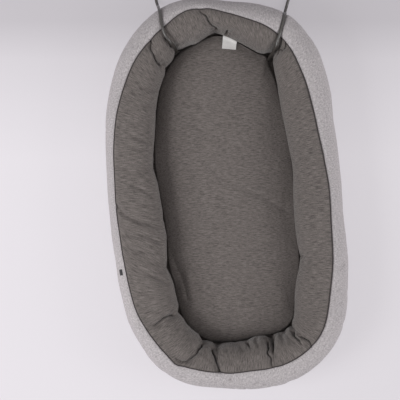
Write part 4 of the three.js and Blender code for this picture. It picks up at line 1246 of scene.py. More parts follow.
mattress = mattress_points(0, MATTRESS_BASE_TOP + GAP, MATTRESS_TOP)
MATTRESS_FOLDS = [
    (14, 2.4, [(-47, 68), (-14, 40), (29, 18), (51, 8), (94, -15), (128, -34)]),
    (11, 2.6, [(-126, -118), (-117, -144), (-104, -172), (-92, -200), (-86, -232)]),
    (18, 1.6, [(-60, -236), (-10, -262), (50, -268), (110, -262)]),
    (22, 1.2, [(-70, 150), (-30, 120), (30, 110)]),
    (24, 1.2, [(-90, -20), (-40, -40), (0, -80)]),
]
PAD_LUMP_HEIGHT = 0.8 * MM
PAD_LUMP_SIZE = 90 * MM
PAD_LUMP_SEED = 21
PAD_FOLD_POWERS = (0.9, 1.5)


def crease_mattress(points):
    """Lowers the top along its soft folds and makes the foam a little uneven."""
    flat = points[..., :2]
    drop = PAD_LUMP_HEIGHT * (soft_noise(flat, PAD_LUMP_SIZE, PAD_LUMP_SEED) + 1)
    for half_width, depth, line in MATTRESS_FOLDS:
        line = np.array(line) * MM
        away = np.full(points.shape[:2], np.inf)
        for start, end in zip(line, line[1:]):
            along = end - start
            t = np.clip((flat - start) @ along / (along @ along), 0, 1)
            reach = np.linalg.norm(flat - start - t[..., None] * along, axis=-1)
            away = np.minimum(away, reach)
        share = np.clip(away / (half_width * MM), 0, 1)
        drop += depth * MM * (1 - share ** PAD_FOLD_POWERS[0]) ** PAD_FOLD_POWERS[1]
    points = points.copy()
    grow = np.clip(np.arange(points.shape[1]) / WALL_ROWS - 1, 0, 1)
    points[..., 2] -= drop * grow
    return points


mattress = crease_mattress(mattress)
pad_uv = np.concatenate([mattress, mattress[:1]])[..., :2]
pad_mesh = grid_mesh("mattress_top_jersey", mattress, closed_columns=True, uv=pad_uv)
mattress_top = merge_poles(link_object("mattress_top_jersey", pad_mesh), face_out=False)
solidify(mattress_top, TICKING_THICKNESS)
dress(mattress_top, "mattress", "mattress_jersey", "mattress_cover_top")

FOAM_UNDER_TOP = 4 * MM
inner_mattress = mattress_points(
    TICKING_THICKNESS + GAP, MATTRESS_BASE_TOP + GAP, MATTRESS_TOP - FOAM_UNDER_TOP
)
foam = closed_disc("mattress_foam_pad", inner_mattress)
dress(foam, "mattress", "foam", "mattress_foam")

BASE_SEAM_INSET = MATTRESS_CLEARANCE + 0.5 * MATTRESS_EDGE_INSET
JERSEY_EDGE = 0.5 * MM


def flat_disc(name, reach_share, clearance, bottom, top, edge_radius):
    """Flat layer inside the ring, with a rounded edge."""
    middle, half = (bottom + top) / 2, (top - bottom) / 2
    loops = []
    for turn in np.linspace(-np.pi / 2, np.pi / 2, 7):
        inset = clearance + edge_radius * (1 - np.cos(turn))
        loops.append(inner_loop(reach_share, inset, middle + half * np.sin(turn)))
    last = loops[-1]
    centre = last.mean(0)
    loops += [centre + (last - centre) * share for share in np.linspace(1, 0, 25)[1:]]
    return closed_disc(name, np.stack(loops, 1))


mattress_base = flat_disc(
    "mattress_base_jersey", 1, BASE_SEAM_INSET, MATTRESS_Z, MATTRESS_BASE_TOP, JERSEY_EDGE
)
dress(mattress_base, "mattress", "mattress_jersey", "mattress_cover_base")
base_cut = inner_loop(1, BASE_SEAM_INSET, 0)
print("mattress", len(mattress_top.data.vertices), "points")

# %% [markdown]
# Under the mattress lies the floor of the nest: a lining of the roll's own jersey and a layer of
# wadding below it. The lining reaches the wall of the roll all round, so nothing shows through.

# %% Floor layers
FLOOR_CLEARANCE = 1.5 * MM
WADDING_RISE = 3 * MM
WADDING_EDGE = 2 * MM
floor_reach = reach_share_at(LINING_Z + LINING_THICKNESS)
lining = flat_disc(
    "floor_lining_jersey", floor_reach, GAP, LINING_Z, LINING_Z + LINING_THICKNESS, JERSEY_EDGE
)
dress(lining, "nest", "melange_jersey", "floor_lining")
inner_loop(floor_reach, GAP, 0)
wadding = flat_disc(
    "floor_wadding", floor_reach, FLOOR_CLEARANCE, BASE_THICKNESS + WADDING_RISE,
    LINING_Z - GAP, WADDING_EDGE,
)  # fmt: skip
dress(wadding, "nest", "fibre_filling", "base_wadding")

# %% [markdown]
# The underside is a knitted base panel with a slot for the zip. Its grid runs from the edge of the
# slot out to the panel's edge, over that edge and back, so it closes on itself like a flat ring.

# %% Base panel
BASE_REACH = 31 * MM
ZIP_LENGTH = 440 * MM
ZIP_CENTRE_Y = -10 * MM
ZIP_SLOT_WIDTH = 18 * MM
PANEL_COLUMNS = 480
PANEL_ROWS = 40
PANEL_EDGE_ROWS = 7
PANEL_PUCKER = 0.7 * MM
PANEL_PUCKER_SIZE = 26 * MM
PANEL_PUCKER_SEED = 31
PANEL_LIFT = 0.05 * MM
LEAST_SHARE = 1e-6


def slot_point(turn):
    """Place on the slot's outline, for a direction seen from the middle of the slot."""
    across, along = np.cos(turn), np.sin(turn)
    to_side = ZIP_SLOT_WIDTH / 2 / np.maximum(np.abs(across), LEAST_SHARE)
    to_end = ZIP_LENGTH / 2 / np.maximum(np.abs(along), LEAST_SHARE)
    reach = np.minimum(to_side, to_end)
    return np.stack([across * reach, along * reach + ZIP_CENTRE_Y], -1)


def base_edge(count, reach):
    """Loop on the base panel that runs a reach outside the roll's middle line."""
    places = np.linspace(0, 1, count, endpoint=False)
    return path_point(places - around(LEAN_TABLE, places) / 2, np.full(count, reach))


def make_base_panel():
    outer = base_edge(PANEL_COLUMNS, BASE_REACH)
    offset = outer - (0, ZIP_CENTRE_Y)
    slot = slot_point(np.arctan2(offset[:, 1], offset[:, 0]))
    along = (outer - slot) / np.linalg.norm(outer - slot, axis=1, keepdims=True)
    half = BASE_THICKNESS / 2
    rows = []
    for share in np.linspace(0, 1, PANEL_ROWS):
        flat = slot + (outer - along * half - slot) * share
        lift = 1 + soft_noise(flat, PANEL_PUCKER_SIZE, PANEL_PUCKER_SEED)
        lift = PANEL_PUCKER * np.maximum(lift, 0) / 2
        rows.append(raised(flat, PANEL_LIFT + lift * np.sin(np.pi * share) ** 0.3))
    for turn in np.linspace(-np.pi / 2, np.pi / 2, PANEL_EDGE_ROWS)[1:-1]:
        edge = outer - along * half * (1 - np.cos(turn))
        rows.append(raised(edge, half + half * np.sin(turn)))
    for share in np.linspace(1, 0, 8):
        flat = slot + (outer - along * half - slot) * share
        rows.append(raised(flat, BASE_THICKNESS))
    points = np.stack(rows, 1)
    mesh = grid_mesh("base_panel_knit", points, closed_columns=True, closed_rows=True)
    return merge_poles(link_object("base_panel_knit", mesh))


base_panel = dress(make_base_panel(), "nest", "marl_knit", "base_panel")
print("base panel", len(base_panel.data.vertices), "points")

# %% [markdown]
# The care label is a soft white tape of two layers. It comes up from the wall of the roll, turns
# over the mattress's edge and lies on its top. Only the blank tape is made. The helper below
# places a flat cloth by a formula, gives it a thickness and rounds its cut edges.


# %% Flat cloths
def flat_cloth(name, points, thickness, rounding=0.25 * MM, offset=1):
    """Cloth of a grid of points, with a thickness, rounded edges and a UV map in metres."""
    across = np.linalg.norm(np.diff(points, axis=0), axis=-1).mean(1)
    along = np.linalg.norm(np.diff(points, axis=1), axis=-1).mean(0)
    mesh = grid_mesh(name, points, uv=uv_grid(running(across), running(along)))
    return round_edges(solidify(link_object(name, mesh), thickness, offset), rounding, 50)


# %% Care label
CARE_LABEL_WIDTH = 31 * MM
CARE_LABEL_FOOT_Y = 318 * MM
CARE_LABEL_X = 5.5 * MM
CARE_LABEL_THICKNESS = 0.8 * MM
CARE_LABEL_TURN = np.radians(5)
CARE_LABEL_LIFT = 0.5 * MM
CARE_LABEL_CLIMB = 11 * MM
CARE_LABEL_SLOPE = 0.036
CARE_LABEL_WALL_GAP = 2.2 * MM
CARE_LABEL_LEVEL_Y = 0.337
CARE_LABEL_CURL = 1.1 * MM
HEAD_FROM_Y = 250 * MM
LABEL_COLUMNS = 32
LABEL_ROWS = 44


def make_care_label():
    wall = inner_loop(1, 0, 0)
    head = wall[wall[:, 1] > HEAD_FROM_Y]
    head = head[np.argsort(head[:, 0])]
    x = CARE_LABEL_X + np.linspace(-0.5, 0.5, LABEL_COLUMNS)[:, None] * CARE_LABEL_WIDTH
    share = np.linspace(0, 1, LABEL_ROWS)[None]
    wall_y = np.interp(x, head[:, 0], head[:, 1]) - CARE_LABEL_WALL_GAP
    foot_y = CARE_LABEL_FOOT_Y - (x - CARE_LABEL_X) * np.tan(CARE_LABEL_TURN)
    y = foot_y + (wall_y - foot_y) * np.minimum(share * 1.25, 1)
    x = x + (y - CARE_LABEL_FOOT_Y) * np.tan(CARE_LABEL_TURN)
    climb = CARE_LABEL_CLIMB * smoothstep((share - 0.55) / 0.45) ** 1.4
    wave = 0.6 + 0.4 * np.cos(9 * (x - CARE_LABEL_X) / CARE_LABEL_WIDTH)
    curl = CARE_LABEL_CURL * smoothstep(1 - share / 0.3) * wave
    lean = CARE_LABEL_SLOPE * (CARE_LABEL_LEVEL_Y - y)
    z = MATTRESS_TOP + lean + CARE_LABEL_LIFT + climb + curl
    points = np.stack(np.broadcast_arrays(x, y, z), -1)
    return flat_cloth("care_label_tape", points, CARE_LABEL_THICKNESS)


care_label = dress(make_care_label(), "mattress", "white_label", "care_label")

# %% [markdown]
# The side label is a small folded black tape, sewn flat on the outer cover. It follows the curved
# cover at a small distance, so its points come from the skin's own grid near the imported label.

# %% Side label
SIDE_LABEL_WIDTH = 13 * MM
SIDE_LABEL_HEIGHT = 10 * MM
SIDE_LABEL_THICKNESS = 0.8 * MM
SIDE_LABEL_LIFT = 0.25 * MM
SIDE_LABEL_NEAR = 24 * MM
SIDE_LABEL_COLUMNS = 13
SIDE_LABEL_ROWS = 11


def bend_terms(u, v):
    """Terms of a surface of the second degree."""
    return np.stack([np.ones(u.shape), u, v, u * u, u * v, v * v], -1)


def make_side_label():
    low, high = (np.array(corner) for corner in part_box("side_label"))
    outer = skin[:, :OUTER_ROWS]
    away = np.linalg.norm(outer - (low + high) / 2, axis=-1)
    column, row = np.unravel_index(away.argmin(), away.shape)
    middle = outer[column, row]
    along = outer[(column + 3) % COLUMNS, row] - outer[column - 3, row]
    upwards = outer[column, row + 3] - outer[column, row - 3]
    along /= np.linalg.norm(along)
    upwards -= along * (along @ upwards)
    upwards /= np.linalg.norm(upwards)
    outwards = np.cross(upwards, along)
    near = outer.reshape(-1, 3)
    near = near[np.linalg.norm(near - middle, axis=1) < SIDE_LABEL_NEAR] - middle
    terms = bend_terms(near @ along, near @ upwards)
    bend = np.linalg.lstsq(terms, near @ outwards, rcond=None)[0]
    u = np.linspace(-0.5, 0.5, SIDE_LABEL_COLUMNS)[:, None] * SIDE_LABEL_WIDTH
    v = np.linspace(-0.5, 0.5, SIDE_LABEL_ROWS)[None] * SIDE_LABEL_HEIGHT
    u, v = np.broadcast_arrays(u, v)
    height = bend_terms(u, v) @ bend + SIDE_LABEL_LIFT
    points = middle + u[..., None] * along + v[..., None] * upwards + height[..., None] * outwards
    return flat_cloth("side_label_tape", points, SIDE_LABEL_THICKNESS)


side_label = dress(make_side_label(), "nest", "black_label", "side_label")

# %% [markdown]
# Each cord is sewn into the crease by a folded tape. The tape stands on the floor lining as a
# narrow loop, with the cord's end above it. It is a strip bent over a small radius.

# %% Cord anchors
ANCHOR_WIDTH = 11 * MM
ANCHOR_TAPE = 1.2 * MM
ANCHOR_HALF = 1.35 * MM
ANCHOR_COLUMNS = 12
ANCHOR_SHARES = {"left": 0.924, "right": 0.0676}
TAPE_ROUNDING = 0.2 * MM


def make_anchor(side, share):
    low, high = (np.array(corner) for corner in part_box("cord_anchor_" + side))
    middle, foot, top = (low + high) / 2, low[2], high[2] - ANCHOR_TAPE / 2
    outwards = path_point(share, 5 * MM) - path_point(share, 0)
    outwards = np.append(outwards / np.linalg.norm(outwards), 0)
    along = np.array([-outwards[1], outwards[0], 0])
    turn = np.linspace(np.pi, 0, 11)
    arch = [(ANCHOR_HALF * np.cos(a), top - ANCHOR_HALF * (1 - np.sin(a))) for a in turn]
    legs = np.linspace(foot, top - ANCHOR_HALF, 8)[:-1]
    outline = [(-ANCHOR_HALF, z) for z in legs] + arch + [(ANCHOR_HALF, z) for z in legs[::-1]]
    place = np.array([(middle[0], middle[1], 0)])
    across = np.linspace(-0.5, 0.5, ANCHOR_COLUMNS)[:, None, None] * ANCHOR_WIDTH * along
    profile = np.array([outwards * x + (0, 0, z) for x, z in outline])
    points = place + across + profile[None]
    tape = flat_cloth("anchor_tape_" + side, points, ANCHOR_TAPE, TAPE_ROUNDING, offset=0)
    return dress(tape, "nest", "woven_tape", "cord_anchor_" + side)


anchors = [make_anchor(side, share) for side, share in ANCHOR_SHARES.items()]
print("labels and anchors done")

# %% [markdown]
# The cover opens with a coil zip along the base. Its tapes are woven strips. Its teeth are one
# nylon coil on each tape, so Geometry Nodes make them from a spiral curve that a small ring is
# swept along.

# %% Zip tapes
ZIP_TAPE_THICKNESS = 0.8 * MM
TAPE_COLUMNS = 16
TAPE_ROWS = 120
TAPE_WAVE = 0.12 * MM


def make_tape(side):
    low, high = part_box("zip_tape_" + side)
    x = np.linspace(low[0], high[0], TAPE_COLUMNS)[:, None]
    y = np.linspace(low[1], high[1], TAPE_ROWS)[None]
    wave = TAPE_WAVE * np.sin(y / (17 * MM)) * np.sin(x / (6 * MM))
    points = np.stack(np.broadcast_arrays(x, y, low[2] + wave), -1)
    name = "woven_zip_tape_" + side
    tape = flat_cloth(name, points, ZIP_TAPE_THICKNESS, TAPE_ROUNDING, offset=-1)
    return dress(tape, "nest", "woven_tape", "zip_tape_" + side)


tapes = [make_tape(side) for side in ("left", "right")]

# %% Zip coils
COIL_WIRE = 0.38 * MM
COIL_PITCH = 1.6 * MM
COIL_TURN_POINTS = 12
COIL_SIDES = 6


def coil_tree():
    """A spiral pressed to the coil's section, laid along Y, swept and moved to its place."""
    tree, given, result = shape_tree(
        "zip_coil",
        [("Width", FLOAT, 2.2 * MM), ("Height", FLOAT, 2 * MM), ("Length", FLOAT, 440 * MM),
         ("Pitch", FLOAT, 1.6 * MM), ("Wire", FLOAT, 0.38 * MM), ("Middle", VECTOR, None)],
    )  # fmt: skip
    spiral = put(tree, "GeometryNodeCurveSpiral", {
        "Resolution": COIL_TURN_POINTS, "Start Radius": 1, "End Radius": 1,
        "Rotations": sums(tree, "DIVIDE", given["Length"], given["Pitch"]),
        "Height": given["Length"],
    })  # fmt: skip
    less = sums(tree, "MULTIPLY", given["Wire"], -1)
    halves = [sums(tree, "MULTIPLY_ADD", given[size], 0.5, less) for size in ("Width", "Height")]
    section = put(tree, "ShaderNodeCombineXYZ", {"X": halves[0], "Y": halves[1], "Z": 1})
    back = put(tree, "ShaderNodeCombineXYZ", {"Z": sums(tree, "MULTIPLY", given["Length"], -0.5)})
    place = {"Geometry": spiral, "Scale": section, "Translation": back}
    pressed = put(tree, "GeometryNodeTransform", place)
    place = {"Geometry": pressed, "Rotation": (-np.pi / 2, 0, 0)}
    laid = put(tree, "GeometryNodeTransform", place)
    circle = {"Resolution": COIL_SIDES, "Radius": given["Wire"]}
    ring = put(tree, "GeometryNodeCurvePrimitiveCircle", circle)
    swept = {"Curve": laid, "Profile Curve": ring, "Fill Caps": True}
    sweep = put(tree, "GeometryNodeCurveToMesh", swept)
    place = {"Geometry": sweep, "Translation": given["Middle"]}
    moved = put(tree, "GeometryNodeTransform", place)
    return finish_tree(tree, given, result, realized(tree, moved))


COIL = coil_tree()


def make_coil(side):
    low, high = (Vector(corner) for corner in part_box("zip_teeth_" + side))
    size, middle = high - low, (low + high) / 2
    coil = grown(
        "zip_coil_" + side, line_object("coil_line", [low, high], False), COIL,
        Width=size.x, Height=size.z, Length=size.y - 2 * COIL_WIRE, Pitch=COIL_PITCH,
        Wire=COIL_WIRE, Middle=tuple(middle),
    )  # fmt: skip
    return dress(smooth(merge_poles(coil)), "nest", "zip_teeth", "zip_teeth_" + side)


coils = [make_coil(side) for side in ("left", "right")]
print("coils", [len(coil.data.vertices) for coil in coils], "points")

# %% [markdown]
# The slider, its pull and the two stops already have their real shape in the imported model. Their
# cast edges are rounded here: a copy of each is merged and bevelled, and stands for the node.

# %% Metal of the zip
METAL_ROUNDING = 0.18 * MM
METAL_BODIES = {
    "zip_slider": "zip_slider", "zip_pull": "zip_pull", "zip_stop_head": "nest",
    "zip_stop_foot": "nest",
}  # fmt: skip


def rounded_copy(node, body):
    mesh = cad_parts[node].data.copy()
    mesh.name = node + "_cast"
    piece = merge_poles(link_object(node + "_cast", mesh))
    mesh.polygons.foreach_set("use_smooth", [False] * len(mesh.polygons))
    return dress(round_edges(piece, METAL_ROUNDING, 40), body, "zip_metal", node)


metal_pieces = [rounded_copy(node, body) for node, body in METAL_BODIES.items()]
print("metal pieces", len(metal_pieces))

# %% [markdown]
# Thread holds everything together, and Geometry Nodes lay it: a path is cut into even steps, and
# one short rounded stitch stands on each step, turned along the path.


# %% Stitches
BEAD_SIDES = 6
BEAD_RINGS = 5


def stitch_tree():
    """One stretched bead on every step of a path, turned along it."""
    tree, given, result = shape_tree(
        "stitch_row",
        [("Step", FLOAT, 3 * MM), ("Length", FLOAT, 2.2 * MM), ("Thread", FLOAT, 0.25 * MM)],
    )
    curve = put(tree, "GeometryNodeMeshToCurve", {"Mesh": given["Geometry"]})
    path = {"Curve": curve, "Length": given["Step"]}
    steps = put(tree, "GeometryNodeResampleCurve", path, mode="LENGTH")
    tangent = put(tree, "GeometryNodeInputTangent", {})
    turn = put(tree, "FunctionNodeAlignRotationToVector", {"Vector": tangent}, axis="Z")
    bead = {"Segments": BEAD_SIDES, "Rings": BEAD_RINGS, "Radius": given["Thread"]}
    half = sums(tree, "MULTIPLY", given["Length"], 0.5)
    stretch = sums(tree, "DIVIDE", half, given["Thread"])
    place = {
        "Points": steps, "Instance": put(tree, "GeometryNodeMeshUVSphere", bead),
        "Rotation": turn,
        "Scale": put(tree, "ShaderNodeCombineXYZ", {"X": 1, "Y": 1, "Z": stretch}),
    }  # fmt: skip
    row = realized(tree, put(tree, "GeometryNodeInstanceOnPoints", place))
    row = put(tree, "GeometryNodeSetShadeSmooth", {"Geometry": row})
    return finish_tree(tree, given, result, row)


STITCH = stitch_tree()
STITCH_STEP = 3.4 * MM
STITCH_LENGTH = 2.6 * MM
THREAD_RADIUS = 0.3 * MM
BASE_STITCH_Z = 0.35 * MM
BASE_STITCH_INSET = 6 * MM
BASE_STITCH_POINTS = 400
SLOT_STITCH_AWAY = 3.5 * MM
HEM_LIFT = 0.05 * MM
HEM_ROW = 3


def stitch_row(name, points, closed, body, slot):
    row = grown(
        name, line_object(name + "_line", points, closed), STITCH,
        Step=STITCH_STEP, Length=STITCH_LENGTH, Thread=THREAD_RADIUS,
    )  # fmt: skip
    return dress(row, body, slot)


def slot_stitches():
    """Topstitching round the zip's slot, on the underside of the base panel."""
    half, end = ZIP_SLOT_WIDTH / 2 + SLOT_STITCH_AWAY, ZIP_LENGTH / 2 + SLOT_STITCH_AWAY
    corners = [(-half, -end), (half, -end), (half, end), (-half, end)]
    path = [(x, y + ZIP_CENTRE_Y, BASE_STITCH_Z) for x, y in corners]
    return stitch_row("zip_topstitch", path, True, "nest", "marl_knit")


def base_stitches():
    """Topstitching near the edge of the base panel."""
    edge = base_edge(BASE_STITCH_POINTS, BASE_REACH - BASE_STITCH_INSET)
    return stitch_row("base_topstitch", raised(edge, BASE_STITCH_Z), True, "nest", "marl_knit")


def label_stitches():
    """One row of white stitches across the care label, where it is sewn in."""
    shown = care_label.data.vertices
    grid = np.array([vertex.co for vertex in shown]).reshape(LABEL_COLUMNS, LABEL_ROWS, 3)
    row = grid[1:-1, HEM_ROW] + (0, 0, CARE_LABEL_THICKNESS + HEM_LIFT)
    return stitch_row("care_label_hem", row, False, "mattress", "white_label")


stitches = [slot_stitches(), base_stitches(), label_stitches()]
print("stitches", [len(row.data.vertices) for row in stitches], "points")

# %% [markdown]
# The finishes come next. Effects that several finishes share are shader node groups: one for the
# streaks of a melange yarn, one for the loops of a knit, one for a plain weave and one for slow
# unevenness. Each puts out only a colour, a height or a value. The shader stays in the material.


# %% Shader helpers
def blend(tree, share, first, second):
    """Mix of two colours by a share from 0 to 1."""
    node = add_node(tree, "ShaderNodeMix", data_type="RGBA")
    for number, value in ((0, share), (6, first), (7, second)):
        feed(tree, node.inputs[number], value)
    return node.outputs[2]


def between(tree, value, low, high, first=0.0, last=1.0):
    """Smooth step of a value from one level to another."""
    names = {"Value": value, 1: low, 2: high, 3: first, 4: last}
    return put(tree, "ShaderNodeMapRange", names, interpolation_type="SMOOTHSTEP")


def noise(tree, vector, scale, detail, **more):
    names = {"Vector": vector, "Scale": scale, "Detail": detail, **more}
    return put(tree, "ShaderNodeTexNoise", names)


def ridges(tree, phase):
    """Rounded ridges, one for every half turn of a phase."""
    return sums(tree, "ABSOLUTE", sums(tree, "SINE", phase))


def parts(tree, vector):
    """The X, Y and Z parts of a vector."""
    node = add_node(tree, "ShaderNodeSeparateXYZ")
    tree.links.new(vector, node.inputs[0])
    return node.outputs


# %% Groups for cloth
def shader_group(name, inputs, output):
    """Empty shader group that takes coordinates and gives one value."""
    inputs = [("Vector", VECTOR, None), *inputs]
    tree, given, result = new_tree("ShaderNodeTree", name, inputs, [output])
    return tree, given, result[0]


def melange_group():
    """Short streaks of lighter and darker yarn. V runs along the streaks."""
    tree, given, result = shader_group(
        "melange_streaks",
        [("Streak length", FLOAT, 8 * MM), ("Streak width", FLOAT, 1.5 * MM),
         ("Base", COLOR, None), ("Dark", COLOR, None), ("Light", COLOR, None)],
        ("Color", COLOR),
    )  # fmt: skip
    across = sums(tree, "DIVIDE", 1.0, given["Streak width"])
    along = sums(tree, "DIVIDE", 1.0, given["Streak length"])
    scale = put(tree, "ShaderNodeCombineXYZ", {"X": across, "Y": along, "Z": across})
    place = put(tree, "ShaderNodeVectorMath", {0: given["Vector"], 1: scale}, operation="MULTIPLY")
    streak = noise(tree, place, 1.0, 2.0, Roughness=0.65)
    speck = noise(tree, given["Vector"], sums(tree, "MULTIPLY", across, 0.8), 2.0)
    value = sums(tree, "MULTIPLY_ADD", speck, 0.25, sums(tree, "MULTIPLY", streak, 0.75))
    darker = blend(tree, between(tree, value, 0.38, 0.49), given["Dark"], given["Base"])
    lighter = blend(tree, between(tree, value, 0.51, 0.62), darker, given["Light"])
    tree.links.new(lighter, result)
    return tree


def knit_group():
    """Columns of interlocked loops, as in jersey. U counts the wales and V the courses."""
    tree, given, result = shader_group(
        "jersey_loops", [("Wale", FLOAT, 1.2 * MM), ("Course", FLOAT, 0.9 * MM)], ("Height", FLOAT)
    )
    place = parts(tree, given["Vector"])
    wale = sums(tree, "DIVIDE", place["X"], given["Wale"])
    course = sums(tree, "DIVIDE", place["Y"], given["Course"])
    leg = ridges(tree, sums(tree, "MULTIPLY", wale, np.pi))
    slant = sums(tree, "MULTIPLY_ADD", leg, 0.45, course)
    loop = ridges(tree, sums(tree, "MULTIPLY", slant, np.pi))
    height = sums(tree, "MULTIPLY", sums(tree, "POWER", loop, 0.6), sums(tree, "POWER", leg, 0.5))
    tree.links.new(height, result)
    return tree


def weave_group():
    """Plain weave: threads that pass over and under one another."""
    tree, given, result = shader_group(
        "plain_weave", [("Pitch", FLOAT, 0.6 * MM)], ("Height", FLOAT)
    )
    place = parts(tree, given["Vector"])
    waves = []
    for axis in ("X", "Y"):
        count = sums(tree, "DIVIDE", place[axis], given["Pitch"])
        waves.append(sums(tree, "SINE", sums(tree, "MULTIPLY", count, 2 * np.pi)))
    cross = sums(tree, "MULTIPLY", waves[0], waves[1])
    tree.links.new(sums(tree, "MULTIPLY_ADD", cross, 0.5, 0.5), result)
    return tree


def uneven_group():
    """Slow change over a surface, from 0 to 1, for handling marks and stuffing that shows."""
    tree, given, result = shader_group(
        "slow_unevenness", [("Size", FLOAT, 60 * MM)], ("Value", FLOAT)
    )
    slow = noise(tree, given["Vector"], sums(tree, "DIVIDE", 1.0, given["Size"]), 3.0)
    tree.links.new(between(tree, slow, 0.3, 0.7), result)
    return tree


MELANGE, KNIT, WEAVE, UNEVEN = melange_group(), knit_group(), weave_group(), uneven_group()


def use_group(tree, group, inputs):
    return put(tree, "ShaderNodeGroup", inputs, node_tree=group)


def unevenness(tree, vector, size):
    return use_group(tree, UNEVEN, {"Vector": vector, "Size": size})


# %% Material helpers
def srgb(red, green, blue):
    """Linear colour of a picture colour from 0 to 255."""
    tones = (tone / 255 for tone in (red, green, blue))
    return (*(c / 12.92 if c < 0.04 else ((c + 0.055) / 1.055) ** 2.4 for c in tones), 1.0)


def shaded(color, factor):
    return (*(part * factor for part in color[:3]), 1.0)


def new_material(name, **sockets):
    """Material with plain values on its shader's own sockets."""
    material = bpy.data.materials.new(name)
    material.use_nodes = True
    shader = material.node_tree.nodes["Principled BSDF"]
    for label, value in sockets.items():
        shader.inputs[label.replace("_", " ")].default_value = value
    return material, material.node_tree, shader


def coordinates(tree, source):
    return add_node(tree, "ShaderNodeTexCoord").outputs[source]


def turned(tree, vector, angle):
    """The same coordinates, turned in their plane."""
    return put(tree, "ShaderNodeMapping", {"Vector": vector, "Rotation": (0, 0, angle)})


def paint(tree, shader, color, roughness):
    tree.links.new(color, shader.inputs["Base Color"])
    tree.links.new(roughness, shader.inputs["Roughness"])


def bump(tree, shader, height, distance, strength):
    names = {"Height": height, "Distance": distance, "Strength": strength}
    tree.links.new(put(tree, "ShaderNodeBump", names), shader.inputs["Normal"])


def knit_material(name, source, base, contrast, streak, turn=0.0, loops=(1.2, 0.9), sheen=0.25):
    """Knitted cloth with melange streaks and loops. streak is (length, width) in millimetres."""
    material, tree, shader = new_material(name, Sheen_Weight=sheen, Sheen_Roughness=0.45)
    shader.inputs["Specular IOR Level"].default_value = 0.2
    place = coordinates(tree, source)
    if turn:
        place = turned(tree, place, turn)
    yarn = {
        "Vector": place, "Streak length": streak[0] * MM, "Streak width": streak[1] * MM,
        "Base": base, "Dark": shaded(base, 1 - contrast), "Light": shaded(base, 1 + contrast),
    }  # fmt: skip
    slow = unevenness(tree, coordinates(tree, "Object"), 70 * MM)
    tint = blend(tree, slow, shaded(base, 0.94), shaded(base, 1.06))
    mixed = blend(tree, 0.2, use_group(tree, MELANGE, yarn), tint)
    loop = use_group(tree, KNIT, {"Vector": place, "Wale": loops[0] * MM, "Course": loops[1] * MM})
    paint(tree, shader, mixed, between(tree, loop, 0.0, 1.0, 0.98, 0.82))
    fuzz = noise(tree, place, 900.0, 2.0)
    bump(tree, shader, sums(tree, "MULTIPLY_ADD", fuzz, 0.5, loop), 0.22 * MM, 0.8)
    return material


# %% Cloth finishes
JERSEY = srgb(107, 101, 98)
MARL = srgb(177, 172, 173)

jersey_roll = knit_material("jersey_on_roll", "UV", JERSEY, 0.5, (16, 1.8))
# Painted light: the flat pieces get the same jersey painted 10 % lighter than the roll's, standing
# in for light.
jersey_flat_painted_lighter = knit_material(
    "jersey_on_flat_painted_lighter", "Object", shaded(JERSEY, 1.1), 0.42, (11, 1.5), turn=np.pi / 2
)
marl_roll, marl_flat = (
    knit_material(name, source, MARL, 0.3, (5, 2.6), loops=(1.5, 1.2), sheen=0.1)
    for name, source in (("marl_on_roll", "UV"), ("marl_on_flat", "Object"))
)


def woven_material(name, source, color, pitch, roughness, sheen=0.0):
    material, tree, shader = new_material(name, Sheen_Weight=sheen)
    place = coordinates(tree, source)
    height = use_group(tree, WEAVE, {"Vector": place, "Pitch": pitch})
    slow = unevenness(tree, coordinates(tree, "Object"), 9 * MM)
    worn = blend(tree, slow, shaded(color, 0.9), shaded(color, 1.05))
    dull = between(tree, height, 0.0, 1.0, roughness + 0.08, roughness)
    # Painted shade: the colour darkens by the weave's height, in the hollows between threads.
    paint(tree, shader, blend(tree, height, shaded(color, 0.82), worn), dull)
    bump(tree, shader, height, 0.15 * MM, 0.7)
    return material


white_tape = woven_material("white_label_tape", "UV", srgb(232, 230, 228), 0.45 * MM, 0.5, 0.2)
black_tape = woven_material("black_label_tape", "UV", srgb(38, 37, 39), 0.45 * MM, 0.55)
zip_tape = woven_material("dark_woven_tape", "Object", srgb(88, 84, 83), 0.8 * MM, 0.8)
piping_cloth = woven_material("piping_cloth", "Object", srgb(66, 60, 60), 0.7 * MM, 0.85)
stitch_thread = woven_material("marl_thread", "Object", srgb(190, 186, 186), 0.3 * MM, 0.6)
label_thread = woven_material("white_thread", "Object", srgb(236, 234, 232), 0.3 * MM, 0.6)


# %% Cord, coil, metal, foam and fibre
def cord_material():
    """Polished braid, painted darker where the braid's bump is low, as painted shade in the grooves
    between strands. The shader has a clear gloss.
    """
    material, tree, shader = new_material("polished_braid", Coat_Weight=0.8, Coat_Roughness=0.2)
    place = coordinates(tree, "UV")
    axes = parts(tree, place)
    along = sums(tree, "MULTIPLY", axes["X"], 2 * np.pi / BRAID_PITCH)
    around_turn = sums(tree, "MULTIPLY", axes["Y"], BRAID_STRANDS / CORD_DIAMETER)
    left = ridges(tree, sums(tree, "ADD", around_turn, along))
    right = ridges(tree, sums(tree, "SUBTRACT", around_turn, along))
    strand = sums(tree, "MAXIMUM", left, right)
    fibre = noise(tree, place, 2600.0, 2.0)
    # Painted shade: the tone darkens where the strand pattern is low, in the grooves.
    tone = blend(tree, between(tree, strand, 0.55, 0.95), srgb(28, 26, 24), srgb(58, 54, 50))
    color = blend(tree, sums(tree, "MULTIPLY", fibre, 0.35), tone, srgb(74, 70, 66))
    paint(tree, shader, color, between(tree, fibre, 0.3, 0.7, 0.3, 0.42))
    bump(tree, shader, sums(tree, "MULTIPLY_ADD", fibre, 0.2, strand), 0.2 * MM, 0.6)
    return material


def coil_material():
    material, tree, shader = new_material("nylon_coil")
    slow = unevenness(tree, coordinates(tree, "Object"), 4 * MM)
    color = blend(tree, slow, srgb(70, 67, 67), srgb(84, 80, 80))
    paint(tree, shader, color, between(tree, slow, 0.0, 1.0, 0.34, 0.44))
    return material


